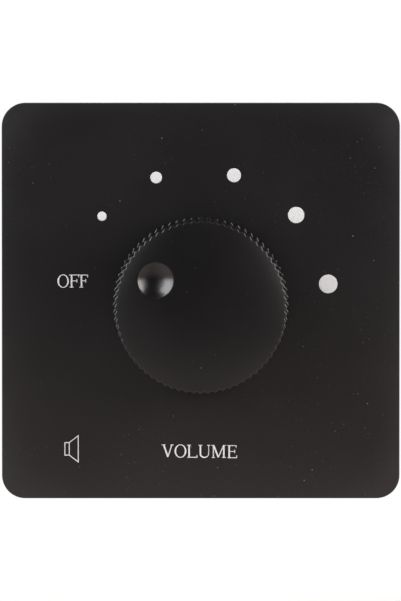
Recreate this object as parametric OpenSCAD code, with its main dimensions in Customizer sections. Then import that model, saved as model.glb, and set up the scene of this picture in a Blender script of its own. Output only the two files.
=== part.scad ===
// Wall volume control: a six-position line attenuator behind a square faceplate.
// Each piece is drawn as seen from the front: x to the right, y up, z out of the wall.
// upright() then stands it up, so that the front faces -Y and the wall is the plane Y = 0.
// The shaft's axis passes through the origin.

/* [Faceplate] */
// Width of the faceplate
plate_w = 86; // [80:0.5:100]
// Height of the faceplate
plate_h = 85.5; // [80:0.5:100]
// Height of the faceplate's centre above the shaft
plate_rise = 0.8; // [0:0.1:1.5]
// Thickness of the faceplate's front wall
plate_wall = 2.2; // [1.6:0.1:3]
// Thickness of the faceplate's rim
rim_wall = 2; // [1.4:0.1:2.6]
// Radius of the faceplate's corners
plate_corner_r = 4.3; // [3:0.1:8]
// Chamfer along the faceplate's front edge
plate_chamfer = 0.8; // [0.3:0.1:1.4]
// Wall of the boss round the frame nut
boss_wall = 2; // [1.2:0.1:3]
// Thickness of the faceplate's stiffening ribs
plate_rib_t = 1.2; // [0.8:0.1:1.6]

/* [Scale print] */
// Radius of the circle that the dots lie on
dot_ring_r = 28; // [26:0.1:30]
// Height of the dots' circle above the shaft
dot_ring_rise = 0.95; // [0:0.05:1.5]
// Diameter of the smallest dot
first_dot_d = 2.1; // [1.5:0.1:3]
// Diameter of the largest dot
last_dot_d = 4.1; // [3:0.1:5]
// Thickness of the printed layer
print_t = 0.05; // [0.03:0.01:0.2]
// Width of the pictogram's lines
icon_line = 0.35; // [0.25:0.05:0.6]
// Height of the loudspeaker pictogram
icon_h = 6.2; // [4:0.1:8]
// Width of the coil's box in the pictogram
icon_coil_w = 1.3; // [1:0.05:2]
// Distance of the pictogram to the left of the shaft
icon_left = 27.8; // [24:0.1:32]
// Distance of the pictogram below the shaft
icon_below = 31.4; // [28:0.1:34]

/* [Knob] */
// Diameter of the knob at its base, over the ribs
knob_d = 38; // [34:0.1:44]
// Diameter of the knob at its face, over the ribs
knob_face_d = 36.9; // [32:0.1:38]
// Height of the knob
knob_h = 15.2; // [13:0.1:20]
// Gap between the knob and the faceplate
knob_gap = 0.8; // [0.4:0.1:2]
// Wall of the knob inside the ribs
knob_wall = 2; // [1.4:0.1:3]
// Thickness of the knob's face
knob_face_t = 3.4; // [2.6:0.1:4]
// Bevel round the knob's face
knob_bevel = 0.3; // [0.2:0.1:1.5]
// Number of ribs round the knob
rib_count = 72; // [36:1:90]
// Depth of the ribs
rib_depth = 0.55; // [0.3:0.05:1]
// Diameter of the hub inside the knob
hub_d = 12; // [10:0.1:16]
// Thickness of the spokes between hub and wall
spoke_t = 1.2; // [0.8:0.1:2]
// Diameter of the finger dish
dish_d = 7.8; // [5:0.1:10]
// Depth of the finger dish
dish_depth = 1.6; // [0.8:0.1:2]
// Distance of the finger dish from the shaft
dish_reach = 11.1; // [9:0.1:12]
// Direction of the finger dish, counted from x towards y
dish_angle = 149.5; // [140:0.5:160]

/* [Shaft] */
// Diameter of the shaft
shaft_d = 6; // [5:0.1:7]
// Depth of the flat on the shaft
shaft_flat = 1.5; // [1:0.1:1.8]
// Thickness of the spring clip between flat and knob
knob_clip_t = 0.45; // [0.3:0.05:0.6]
// Thickness of the shaft's retaining clip
shaft_clip_t = 0.6; // [0.4:0.1:1]
// Diameter of the shaft's retaining clip
shaft_clip_d = 8.8; // [8:0.1:9]
// Diameter of the pivot at the shaft's rear end
pivot_d = 2.5; // [2:0.1:3]
// Running clearance round turning pieces
run_clear = 0.05; // [0.02:0.01:0.1]
// Axial play of the shaft
end_play = 0.1; // [0.05:0.01:0.2]

/* [Bushing and nuts] */
// Thread diameter of the switch bushing
bushing_d = 10; // [9:0.1:11]
// Width across the flats of both nuts
nut_af = 14; // [13:0.5:15]
// Thickness of both nuts
nut_t = 2.2; // [1.6:0.1:3]
// Diameter of the toothed lock washer
lock_washer_d = 15; // [13:0.1:16]
// Diameter of the panel washer
panel_washer_d = 18; // [15:0.1:22]
// Thickness of both washers
washer_t = 0.6; // [0.4:0.1:1]
// Space between the frame nut and the faceplate
nut_headroom = 0.8; // [0.4:0.1:2]
// Length of bushing in front of the panel nut
bushing_tip = 0.4; // [0.2:0.1:1]

/* [Carrier frame] */
// Width and height of the carrier frame
frame_w = 74; // [70:0.5:76]
// Thickness of the frame's sheet
frame_t = 1.2; // [0.8:0.1:2]
// Radius of the frame's corners
frame_corner_r = 4; // [2:0.5:8]
// Distance between the two box screw slots
slot_spacing = 60.3; // [58:0.1:62]
// Width of each slot
slot_w = 4.2; // [3.6:0.1:5]
// Length of each slot, end to end
slot_len = 8; // [6:0.1:9]

/* [Rotary switch] */
// Outer diameter of the switch housing
switch_d = 26; // [25:0.1:28]
// Wall of the switch housing
switch_wall = 1.7; // [1.5:0.1:2]
// Thickness of the bushing's flange
flange_t = 2; // [1.6:0.1:3]
// Distance of each switch screw from the shaft
ear_reach = 15; // [14.5:0.1:17]
// Radius of the ears round the switch screws
ear_r = 2.8; // [2.2:0.1:3.4]
// Diameter of the switch screws
switch_screw_d = 2; // [1.6:0.1:2.5]
// Radius of the detent wheel
wheel_r = 8; // [7.5:0.1:8.3]
// Thickness of the detent wheel
wheel_t = 2.8; // [2.4:0.1:3.5]
// Thickness of the detent leaf spring
leaf_t = 0.3; // [0.2:0.05:0.4]
// Radius of the circle of step contacts
contact_r = 8; // [7.6:0.1:8.6]
// Radius of the common contact ring's middle
common_r = 4.2; // [4:0.1:4.4]
// Diameter of the contact rotor
rotor_d = 19; // [18:0.1:20]
// Thickness of the contact wafer
wafer_t = 2; // [1.5:0.1:3]
// Diameter of the contact and transformer pins
pin_d = 0.8; // [0.6:0.05:1]

/* [Circuit board] */
// Distance between the standoffs across the board
standoff_dx = 43; // [42:0.5:48]
// Distance between the standoffs up the board
standoff_dy = 55; // [54:0.5:60]
// Width of the board outside the standoffs
board_margin = 3.5; // [3:0.1:5]
// Thickness of the board
board_t = 1.6; // [1:0.1:2.4]
// Space between the switch screws and the board
board_gap = 1.8; // [1:0.1:4]
// Width across the flats of the standoffs
standoff_af = 5.5; // [5:0.1:6.5]
// Diameter of the frame and board screws
screw_d = 3; // [2.5:0.1:3.5]

/* [Transformer] */
// Width of the core's centre leg
centre_leg_w = 13; // [11:0.5:14]
// Width of the core's outer legs and yokes
leg_w = 7; // [6:0.5:7]
// Height of the lamination stack
core_stack = 14; // [10:0.5:18]
// Length of the winding
coil_len = 18; // [15:0.5:18]
// Thickness of the winding
coil_build = 4.2; // [3:0.1:4.4]
// Thickness of the winding's tape
tape_t = 0.4; // [0.2:0.1:0.6]
// Wall of the bobbin's tube
bobbin_wall = 0.8; // [0.6:0.1:1.2]
// Thickness of the bobbin's flanges
bobbin_flange_t = 0.9; // [0.6:0.1:1.2]
// Thickness of the clamp's sheet
clamp_t = 0.8; // [0.5:0.1:1.2]
// Space between the upper board screws and the clamp
transformer_margin = 1.9; // [1:0.1:3]

/* [Terminal block] */
// Distance between the terminals
terminal_pitch = 7.62; // [7:0.01:8]
// Depth of the terminal block
terminal_depth = 10; // [9:0.1:11]
// Width and height of the wire entries
wire_entry = 3.8; // [3:0.1:4]
// Diameter of the terminal screws
terminal_screw_d = 3; // [2.5:0.1:3.2]
// Diameter of the terminal screws' heads
terminal_head_d = 3.9; // [3.6:0.1:4.4]
// Wall of the rising cages
cage_wall = 0.8; // [0.6:0.1:1]
// Travel of the rising cages
cage_travel = 2.5; // [1.5:0.1:3]
// Thickness of the contact bars
bar_t = 0.8; // [0.5:0.1:1]

/* [Hidden] */
$fn = 64;

// Overshoot of a cutting shape past the face that it opens
over = 1;
// Clearance of a screw, pin or thread in its hole
hole_clear = 0.05;
// Clearance of a screw in a sheet that it passes through
pass_clear = 0.15;

// Scale: where the dots stand, and where the dish points at the ends of the travel
dot_angles = [139.5, 109.6, 74.6, 41.3, 7.1];
off_angle = 171.6;
index_count = 11;
index_step = 360 / index_count;
step_count = 5;
max_angle = off_angle - step_count * index_step;

// Front stack, outwards from the wall
frame_nut_z = frame_t + washer_t;
plate_inner_z = frame_nut_z + nut_t + nut_headroom;
plate_front_z = plate_inner_z + plate_wall;
panel_nut_z = plate_front_z + washer_t;
bushing_end_z = panel_nut_z + nut_t + bushing_tip;
shaft_clip_z = bushing_end_z + end_play;
knob_base_z = plate_front_z + knob_gap;
knob_top_z = knob_base_z + knob_h;
knob_ceiling_z = knob_top_z - knob_face_t;
hub_gap = 0.6;
hub_base_z = shaft_clip_z + shaft_clip_t + hub_gap;
shaft_end_gap = 0.3;
shaft_end_z = knob_ceiling_z - shaft_end_gap;

// Frame and faceplate: the frame reaches past its slots, and the faceplate's rim clears the frame
slot_edge = 1;
frame_span = max(frame_w, slot_spacing + slot_len + 2 * slot_edge);
frame_clear = 0.2;
cover_w = max(plate_w, frame_span + 2 * (rim_wall + frame_clear));
cover_h = max(plate_h, frame_span + 2 * (rim_wall + frame_clear + plate_rise));

// Faceplate: the boss clears the frame nut's corners, and the ribs stop short of the frame
nut_corner_d = nut_af / cos(30);
boss_clear = 0.9;
boss_inner_d = nut_corner_d + 2 * boss_clear;
boss_outer_d = boss_inner_d + 2 * boss_wall;
plate_hole_clear = 0.2;
rib_gap = 0.4;
plate_rib_x = (boss_inner_d + boss_wall) / 2;

// Knob and shaft: the flat lies below the axis, and the clip fills the knob's wider flat
flat_y = shaft_d / 2 - shaft_flat;
clip_clear = 0.03;
clip_side_gap = 0.35;
bore_flat_y = flat_y + knob_clip_t + 2 * clip_clear;
bore_flat_half = sqrt(pow(shaft_d / 2 + run_clear, 2) - pow(bore_flat_y, 2));
knob_clip_w = 2 * (bore_flat_half - clip_side_gap);
knob_hollow_d = knob_face_d - 2 * (rib_depth + knob_wall);
spoke_count = 4;
spoke_setback = 0.8;
dish_sphere_r = (pow(dish_d / 2, 2) + pow(dish_depth, 2)) / (2 * dish_depth);
knob_clip_inset = 0.5;
shaft_groove = 0.5;

// Switch stack, inwards from the wall
collar_t = 1.1;
collar_wall = 1.4;
collar_d = shaft_d + 2 * collar_wall;
stop_t = 0.8;
stop_tab = 2.4;
rotor_hub_t = 1;
rotor_hub_wall = 2;
rotor_hub_d = shaft_d + 2 * rotor_hub_wall;
rotor_t = 2.6;
wiper_t = 0.4;
wiper_nose = 1.1;
contact_gap = 0.1;
pad_t = 0.8;
switch_head_t = 1.2;
collar_front_z = -flange_t - end_play;
wheel_front_z = collar_front_z - collar_t;
wheel_back_z = wheel_front_z - wheel_t;
rotor_front_z = wheel_back_z - rotor_hub_t;
rotor_back_z = rotor_front_z - rotor_t;
wiper_back_z = rotor_back_z - wiper_t;
nose_back_z = wiper_back_z - wiper_nose;
wafer_front_z = nose_back_z - contact_gap - pad_t;
wafer_back_z = wafer_front_z - wafer_t;
board_front_z = wafer_back_z - switch_head_t - board_gap;
board_back_z = board_front_z - board_t;
pin_tail = 0.8;
pin_end_z = board_back_z - pin_tail;

// Switch: detent, stops and contacts
switch_inner_d = switch_d - 2 * switch_wall;
notch_r = 1.3;
notch_out = 0.2;
nose_r = 1;
nose_gap = 0.05;
leaf_y = -(wheel_r + nose_gap + nose_r);
leaf_w = 1.6;
leaf_half = sqrt(pow(switch_d / 2 - switch_wall / 2, 2) - pow(leaf_y - leaf_t / 2, 2));
leaf_clear = 0.05;
leaf_front_z = wheel_front_z - (wheel_t - leaf_w) / 2;
lug_half = 8;
lug_inset = 0.9;
lug_r = switch_inner_d / 2 - lug_inset;
stop_gap_angle = 0.5;
stop_tab_over = 0.5;
stop_tab_w = 2;
stop_fit = 0.1;
stop_reach = 0.7;
stop_inner_r = wheel_r + stop_reach;
stop_hole_gap = 1.5;
stop_hole_d = collar_d + 2 * stop_hole_gap;
spigot_d = 2;
spigot_r = 9.5;
spigot_short = 0.2;
switch_head_ratio = 1.9;
switch_head_d = switch_screw_d * switch_head_ratio;
thread_stop = 0.6;
pad_d = 2.6;
wiper_w = 3;
wiper_end = 0.8;
nose_d = 1.6;
nose_tip_d = 0.8;
ring_half = 1;
pivot_short = 0.5;

// Board and its fastenings
board_w = standoff_dx + 2 * board_margin;
board_h = standoff_dy + 2 * board_margin;
standoff_hole_d = screw_d + 2 * hole_clear;
screw_reach = 6;
head_ratio = 1.85;
head_t_ratio = 0.63;
head_d = screw_d * head_ratio;
head_t = screw_d * head_t_ratio;
head_slot_w = 0.8;
head_slot_t = 1;

// Transformer: the coil's build sets the core's window
core_slack = 0.2;
flange_lip = 0.4;
coil_side = core_slack + bobbin_wall + coil_build + tape_t + flange_lip;
window_gap = 1;
window_w = coil_side + window_gap;
window_slack = 0.1;
window_len = coil_len + 2 * (bobbin_flange_t + window_slack);
core_w = centre_leg_w + 2 * (window_w + leg_w);
core_h = window_len + 2 * leg_w;
bobbin_w = centre_leg_w + 2 * coil_side;
bobbin_h = core_stack + 2 * coil_side;
foot_lift = 1.6;
rail_h = 4;
rail_d = 3.4;
rail_pins = 5;
rail_pin_pitch = 5;
rail_pin_grip = 2.4;
coil_z = board_back_z - foot_lift - bobbin_h / 2;
core_front_z = coil_z + core_stack / 2;
core_back_z = coil_z - core_stack / 2;
transformer_y = (standoff_dy - head_d - core_h) / 2 - transformer_margin - clamp_t;
clamp_lip = 2.5;
clamp_foot_w = 5;
clamp_foot_y = core_h / 2 - clamp_foot_w;
clamp_tab_w = 2;
clamp_tab_clear = 0.1;

// Terminals: heights above the board, at which the cage stands open
ways = 4;
terminal_end_wall = 0.6;
terminal_floor = 1.6;
cage_gap = 0.2;
cage_base = terminal_floor + cage_gap;
bar_under = cage_base + cage_wall + wire_entry + cage_gap;
bar_top = bar_under + bar_t;
screw_tip_gap = 0.1;
cage_nut_under = bar_top + 2 * cage_gap;
cage_nut_t = 1.8;
cage_top = cage_nut_under + cage_nut_t;
cavity_top = cage_top + cage_travel + cage_gap;
chamber_web = 0.8;
chamber_base = cavity_top + chamber_web;
terminal_head_t = 2;
head_play = 0.05;
chamber_top = chamber_base + terminal_head_t + 4 * head_play;
terminal_lip = 0.5;
terminal_h = chamber_top + terminal_lip;
chamber_clear = 0.1;
terminal_slot_w = 0.6;
terminal_slot_t = 0.9;
head_ledge = 0.3;
driver_hole_d = terminal_head_d - 2 * head_ledge;
terminal_w = ways * terminal_pitch;
terminal_edge = 0.5;
terminal_front_y = -board_h / 2 + terminal_edge;
terminal_wall = 1.2;
cage_w = wire_entry + 2 * cage_wall;
cage_d = 5;
cavity_w = cage_w + 2 * cage_gap;
cavity_front_y = terminal_front_y + terminal_wall;
cavity_back_y = terminal_front_y + terminal_depth - terminal_wall;
cage_y = cavity_front_y + cage_gap + cage_d / 2;
bar_w = wire_entry - 2 * cage_gap;
bar_tab_w = 1;
bar_leg_w = 3;
bar_leg_y = cavity_back_y - bar_t - cage_gap;
bar_hole_clear = 0.1;

// Height above the board's rear face, as a place in the stack
function behind_board(height) = board_back_z - height;

// Middle of one way of the terminal block
function way_x(way) = (way - (ways + 1) / 2) * terminal_pitch;

// Angle of one step contact, counted from the off position
function contact_angle(step) = off_angle - step * index_step;

// Stands a drawing up on the wall
module upright() {
    rotate([90, 0, 0]) children();
}

// Round bar between two places in the stack
module rod(d, low, high) {
    translate([0, 0, low]) cylinder(d = d, h = high - low);
}

// Ring between two places in the stack
module ring(outer, inner, low, high) {
    difference() {
        rod(outer, low, high);
        rod(inner, low - over, high + over);
    }
}

// Block centred on the axis, between two places in the stack
module slab(w, h, low, high) {
    translate([-w / 2, -h / 2, low]) cube([w, h, high - low]);
}

// Rectangle with round corners
module rounded_rect(w, h, r) {
    square([w - 2 * r, h], center = true);
    square([w, h - 2 * r], center = true);
    for (x = [-1, 1], y = [-1, 1])
        translate([x * (w / 2 - r), y * (h / 2 - r)]) circle(r = r);
}

// Sheet with round corners
module rounded_slab(w, h, r, low, high) {
    translate([0, 0, low]) linear_extrude(high - low) rounded_rect(w, h, r);
}

// Bar along x with a chamfer on its two long front edges
module chamfered_bar(length, span, c, low, high) {
    rotate([90, 0, 90]) linear_extrude(length, center = true)
        polygon([[-span / 2, low], [span / 2, low], [span / 2, high - c],
            [span / 2 - c, high], [c - span / 2, high], [-span / 2, high - c]]);
}

// Sheet with round corners and a chamfered front edge
module chamfered_slab(w, h, r, c, low, high) {
    chamfered_bar(w - 2 * r, h, c, low, high);
    rotate([0, 0, 90]) chamfered_bar(h - 2 * r, w, c, low, high);
    for (x = [-1, 1], y = [-1, 1])
        translate([x * (w / 2 - r), y * (h / 2 - r), 0]) rotate_extrude()
            polygon([[0, low], [r, low], [r, high - c], [r - c, high], [0, high]]);
}

// Bar with a flat below the axis
module flatted_rod(d, flat, low, high) {
    intersection() {
        rod(d, low, high);
        translate([-d, -flat, low]) cube([2 * d, flat + d, high - low]);
    }
}

// Hole for a piece that the shaft's flat drives
module shaft_hole(low, high) {
    flatted_rod(shaft_d + 2 * hole_clear, flat_y + hole_clear, low, high);
}

// Wedge-shaped sector about the axis
module sector(r, from_angle, to_angle, low, high) {
    intersection() {
        rod(2 * r, low, high);
        translate([0, 0, low]) linear_extrude(high - low)
            polygon([[0, 0], 2 * r * [cos(from_angle), sin(from_angle)],
                2 * r * [cos(to_angle), sin(to_angle)]]);
    }
}

// Hexagon nut on the bushing's thread
module bushing_nut(low) {
    difference() {
        translate([0, 0, low]) cylinder(d = nut_corner_d, h = nut_t, $fn = 6);
        rod(bushing_d + 2 * hole_clear, low - over, low + nut_t + over);
    }
}

// Repeats a child at the four standoffs
module at_standoffs() {
    for (x = [-1, 1], y = [-1, 1])
        translate([x * standoff_dx / 2, y * standoff_dy / 2, 0]) children();
}

// Repeats a child at the two switch screws
module at_ears() {
    for (x = [-1, 1]) translate([x * ear_reach, 0, 0]) children();
}

// Outline of the switch with its two ears
module switch_outline() {
    circle(d = switch_d);
    square([2 * ear_reach, 2 * ear_r], center = true);
    for (x = [-1, 1]) translate([x * ear_reach, 0]) circle(r = ear_r);
}

// Round-headed screw whose head sits in front of a place in the stack
module slotted_screw(d, wide, tall, head_z, tip_z) {
    difference() {
        union() {
            rod(wide, head_z, head_z + tall);
            rod(d, tip_z, head_z);
        }
        slab(wide + over, head_slot_w, head_z + tall - head_slot_t, head_z + tall + over);
    }
}

// Repeats a child at the step contacts
module at_contacts() {
    for (step = [0 : step_count])
        rotate([0, 0, contact_angle(step)]) translate([contact_r, 0, 0]) children();
}

// Repeats a child at the transformer's pins
module at_transformer_pins() {
    for (side = [-1, 1], n = [1 : rail_pins])
        translate([(n - (rail_pins + 1) / 2) * rail_pin_pitch,
            transformer_y + side * (window_len / 2 + rail_d / 2 - bobbin_flange_t), 0]) children();
}

// Repeats a child at the clamp's feet
module at_clamp_feet() {
    for (x = [-1, 1], y = [-1, 1])
        translate([x * (core_w + clamp_t) / 2, transformer_y + y * clamp_foot_y, 0]) children();
}

// Moulded front cover, open towards the wall
module faceplate() {
    color("#262425") upright() difference() {
        union() {
            translate([0, plate_rise, 0]) difference() {
                chamfered_slab(cover_w, cover_h, plate_corner_r, plate_chamfer, 0, plate_front_z);
                rounded_slab(cover_w - 2 * rim_wall, cover_h - 2 * rim_wall,
                    plate_corner_r - rim_wall, -over, plate_inner_z);
            }
            rod(boss_outer_d, frame_t, plate_inner_z + plate_wall / 2);
            for (x = [-1, 1])
                translate([x * plate_rib_x, plate_rise, 0])
                    slab(plate_rib_t, cover_h - rim_wall, frame_t + rib_gap,
                        plate_inner_z + plate_wall / 2);
        }
        rod(boss_inner_d, -over, plate_inner_z);
        rod(bushing_d + 2 * plate_hole_clear, -over, plate_front_z + over);
    }
}

// Closed outline of the pictogram: a coil's narrow box with a flared cone
module icon_outline(inset) {
    tall = icon_h / 2 - inset * 1.5;
    short = icon_h / 4 - inset;
    right = icon_h / 4 - inset;
    neck = icon_coil_w - icon_h / 4;
    polygon([[-right, -short], [-right, short], [neck, short], [right, tall],
        [right, -tall], [neck, -short]]);
}

// Printed dots and loudspeaker pictogram
module scale_print() {
    dot_growth = (last_dot_d - first_dot_d) / (len(dot_angles) - 1);
    color("#d2cfd0") upright() {
        for (n = [0 : len(dot_angles) - 1])
            translate([dot_ring_r * cos(dot_angles[n]),
                dot_ring_rise + dot_ring_r * sin(dot_angles[n]), 0])
                rod(first_dot_d + n * dot_growth, plate_front_z, plate_front_z + print_t);
        translate([-icon_left, -icon_below, plate_front_z]) linear_extrude(print_t) difference() {
            icon_outline(0);
            difference() {
                icon_outline(icon_line);
                translate([icon_coil_w - icon_h / 4 - icon_line, -icon_h / 2])
                    square([icon_line, icon_h]);
            }
        }
    }
}

// Ribbed body of the knob, before it is hollowed
module knob_blank() {
    face_r = knob_face_d / 2 - knob_bevel;
    wide = knob_d / 2 + over;
    intersection() {
        translate([0, 0, knob_base_z])
            linear_extrude(knob_h, scale = knob_face_d / knob_d)
                polygon([for (n = [0 : 2 * rib_count - 1])
                    (knob_d / 2 - (n % 2) * rib_depth)
                        * [cos(180 * n / rib_count), sin(180 * n / rib_count)]]);
        rotate_extrude()
            polygon([[0, knob_base_z - over], [wide, knob_base_z - over],
                [wide, knob_top_z - wide + face_r], [face_r, knob_top_z], [0, knob_top_z]]);
    }
}

// Push-on knob
module knob() {
    color("#201e1f") upright() difference() {
        union() {
            difference() {
                knob_blank();
                rod(knob_hollow_d, knob_base_z - over, knob_ceiling_z);
            }
            rod(hub_d, hub_base_z, knob_ceiling_z + over);
            for (n = [0 : spoke_count / 2 - 1])
                rotate([0, 0, n * 360 / spoke_count])
                    slab(knob_hollow_d + knob_wall, spoke_t, hub_base_z + spoke_setback,
                        knob_ceiling_z + over);
        }
        flatted_rod(shaft_d + 2 * run_clear, bore_flat_y, hub_base_z - over, knob_ceiling_z);
        rotate([0, 0, dish_angle])
            translate([dish_reach, 0, knob_top_z - dish_depth + dish_sphere_r])
                sphere(r = dish_sphere_r);
    }
}

// Leaf that presses the knob onto the shaft's flat
module knob_clip() {
    color("#b8bcc0") upright()
        translate([0, -(bore_flat_y + flat_y) / 2, 0])
            slab(knob_clip_w, knob_clip_t, hub_base_z + knob_clip_inset,
                shaft_end_z - knob_clip_inset);
}

// Nut that holds the faceplate
module panel_nut() {
    color("#c9b37a") upright() bushing_nut(panel_nut_z);
}

// Washer under the panel nut
module panel_washer() {
    color("#c4c6c8") upright()
        ring(panel_washer_d, bushing_d + 2 * pass_clear, plate_front_z, panel_nut_z);
}

// Nut that holds the switch to the frame
module frame_nut() {
    color("#c9b37a") upright() bushing_nut(frame_nut_z);
}

// Lock washer with teeth on its inside
module lock_washer() {
    tooth_count = 8;
    tooth_gap_d = 1.6;
    color("#c4c6c8") upright() difference() {
        ring(lock_washer_d, bushing_d + 2 * pass_clear, frame_t, frame_nut_z);
        for (n = [1 : tooth_count])
            rotate([0, 0, n * 360 / tooth_count])
                translate([bushing_d / 2 + pass_clear, 0, 0])
                    rod(tooth_gap_d, frame_t - over, frame_nut_z + over);
    }
}

// Steel sheet that is screwed to the wall box
module carrier_frame() {
    color("#a9adb0") upright() difference() {
        rounded_slab(frame_span, frame_span, frame_corner_r, 0, frame_t);
        rod(bushing_d + 2 * pass_clear, -over, frame_t + over);
        translate([0, -spigot_r, 0]) rod(spigot_d + 2 * pass_clear, -over, frame_t + over);
        at_standoffs() rod(screw_d + 2 * pass_clear, -over, frame_t + over);
        for (x = [-1, 1]) translate([x * slot_spacing / 2, 0, 0]) {
            slab(slot_len - slot_w, slot_w, -over, frame_t + over);
            for (end = [-1, 1])
                translate([end * (slot_len - slot_w) / 2, 0, 0])
                    rod(slot_w, -over, frame_t + over);
        }
    }
}

// Screws from the frame into the standoffs
module frame_screws() {
    color("#c4c6c8") upright() at_standoffs()
        slotted_screw(screw_d, head_d, head_t, frame_t, frame_t - screw_reach);
}

// Hexagon pillars between frame and board
module standoffs() {
    color("#d0b878") upright() at_standoffs() difference() {
        translate([0, 0, board_front_z])
            cylinder(d = standoff_af / cos(30), h = -board_front_z, $fn = 6);
        rod(standoff_hole_d, board_front_z - over, over);
    }
}

// Screws from the board into the standoffs
module board_screws() {
    color("#c4c6c8") upright() at_standoffs() translate([0, 0, board_back_z]) mirror([0, 0, 1])
        slotted_screw(screw_d, head_d, head_t, 0, -screw_reach);
}

// Board that carries the transformer and the terminals
module circuit_board() {
    low = board_back_z - over;
    high = board_front_z + over;
    color("#1f6b3a") upright() difference() {
        slab(board_w, board_h, board_back_z, board_front_z);
        at_standoffs() rod(screw_d + 2 * pass_clear, low, high);
        at_contacts() rod(pin_d + 2 * pass_clear, low, high);
        translate([0, common_r, 0]) rod(pin_d + 2 * pass_clear, low, high);
        at_transformer_pins() rod(pin_d + 2 * pass_clear, low, high);
        at_clamp_feet()
            slab(clamp_t + 2 * clamp_tab_clear, clamp_tab_w + 2 * clamp_tab_clear, low, high);
        for (way = [1 : ways])
            translate([way_x(way), bar_leg_y + bar_t / 2, 0])
                slab(bar_tab_w + 2 * bar_hole_clear, bar_t + 2 * bar_hole_clear, low, high);
    }
}

// Threaded bushing with the flange that closes the switch
module switch_bushing() {
    color("#b9bbbd") upright() difference() {
        union() {
            rod(bushing_d, -flange_t, bushing_end_z);
            translate([0, 0, -flange_t]) linear_extrude(flange_t) switch_outline();
            translate([0, -spigot_r, 0]) rod(spigot_d, -flange_t, frame_t - spigot_short);
        }
        rod(shaft_d + 2 * run_clear, -flange_t - over, bushing_end_z + over);
        at_ears() rod(switch_screw_d + 2 * hole_clear, -flange_t - over, -thread_stop);
    }
}

// Moulded barrel of the switch
module switch_housing() {
    color("#3a3c40") upright() difference() {
        translate([0, 0, wafer_front_z]) linear_extrude(-flange_t - wafer_front_z)
            switch_outline();
        rod(switch_inner_d, wafer_front_z - over, -flange_t + over);
        at_ears() rod(switch_screw_d + 2 * hole_clear, wafer_front_z - over, -flange_t + over);
        translate([0, leaf_y, 0])
            slab(2 * (leaf_half + leaf_clear), leaf_t + 2 * leaf_clear,
                leaf_front_z - leaf_w - leaf_clear, -flange_t + over);
    }
}

// Screws that hold wafer, housing and bushing together
module switch_screws() {
    color("#c4c6c8") upright() at_ears() translate([0, 0, wafer_back_z]) mirror([0, 0, 1])
        slotted_screw(switch_screw_d, switch_head_d, switch_head_t, 0,
            wafer_back_z + thread_stop + hole_clear);
}

// Shaft with its flats, collar, clip groove and rear pivot
module switch_shaft() {
    color("#c0c3c6") upright() difference() {
        union() {
            flatted_rod(shaft_d, flat_y, rotor_back_z, wheel_front_z);
            rod(collar_d, wheel_front_z, collar_front_z);
            rod(shaft_d, collar_front_z, hub_base_z);
            flatted_rod(shaft_d, flat_y, hub_base_z, shaft_end_z);
            rod(pivot_d, wafer_back_z + pivot_short, rotor_back_z);
        }
        ring(shaft_d + over, shaft_d - 2 * shaft_groove, shaft_clip_z,
            shaft_clip_z + shaft_clip_t);
    }
}

// Open ring that snaps into the shaft's groove
module shaft_clip() {
    groove_d = shaft_d - 2 * shaft_groove;
    color("#8e9296") upright() difference() {
        ring(shaft_clip_d, groove_d + 2 * hole_clear, shaft_clip_z, shaft_clip_z + shaft_clip_t);
        translate([0, shaft_clip_d / 2, 0])
            slab(groove_d, shaft_clip_d, shaft_clip_z - over,
                shaft_clip_z + shaft_clip_t + over);
    }
}

// Ring with two tabs that end the shaft's travel
module stop_ring() {
    low = -flange_t - stop_t;
    tab_h = stop_t + stop_tab;
    tab_r = lug_r + stop_tab_over - stop_inner_r;
    color("#a9adb0") upright() {
        ring(switch_inner_d - 2 * stop_fit, stop_hole_d, low, -flange_t);
        rotate([0, 0, off_angle + lug_half + stop_gap_angle])
            translate([stop_inner_r, 0, -flange_t - tab_h]) cube([tab_r, stop_tab_w, tab_h]);
        rotate([0, 0, max_angle - lug_half - stop_gap_angle])
            translate([stop_inner_r, -stop_tab_w, -flange_t - tab_h])
                cube([tab_r, stop_tab_w, tab_h]);
    }
}

// Notched wheel with the lug that meets the stops
module detent_wheel() {
    off_turn = off_angle - dish_angle;
    color("#e6e2d6") upright() difference() {
        union() {
            rod(2 * wheel_r, wheel_back_z, wheel_front_z);
            sector(lug_r, dish_angle - lug_half, dish_angle + lug_half,
                wheel_back_z, wheel_front_z);
        }
        shaft_hole(wheel_back_z - over, wheel_front_z + over);
        for (n = [0 : step_count])
            rotate([0, 0, 270 - off_turn + n * index_step])
                translate([wheel_r + notch_out, 0, 0])
                    rod(2 * notch_r, wheel_back_z - over, wheel_front_z + over);
    }
}

// Leaf whose nose rides on the wheel and drops into its notches
module detent_spring() {
    color("#b8bcc0") upright() translate([0, leaf_y, 0]) {
        slab(2 * leaf_half, leaf_t, leaf_front_z - leaf_w, leaf_front_z);
        difference() {
            rod(2 * nose_r, leaf_front_z - leaf_w, leaf_front_z);
            translate([0, -nose_r - leaf_t / 2, 0])
                slab(3 * nose_r, 2 * nose_r, leaf_front_z - leaf_w - over, leaf_front_z + over);
        }
    }
}

// Insulating disc that carries the wiper
module contact_rotor() {
    color("#e6e2d6") upright() difference() {
        union() {
            rod(rotor_hub_d, rotor_front_z, wheel_back_z);
            rod(rotor_d, rotor_back_z, rotor_front_z);
        }
        shaft_hole(rotor_back_z - over, wheel_back_z + over);
    }
}

// Strip with two noses that bridges the ring and one step contact
module wiper() {
    color("#c98a4b") upright() rotate([0, 0, dish_angle]) {
        translate([common_r - wiper_end, -wiper_w / 2, wiper_back_z])
            cube([contact_r - common_r + 2 * wiper_end, wiper_w, wiper_t]);
        for (r = [common_r, contact_r])
            translate([r, 0, nose_back_z])
                cylinder(d1 = nose_tip_d, d2 = nose_d, h = wiper_nose);
    }
}

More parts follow.
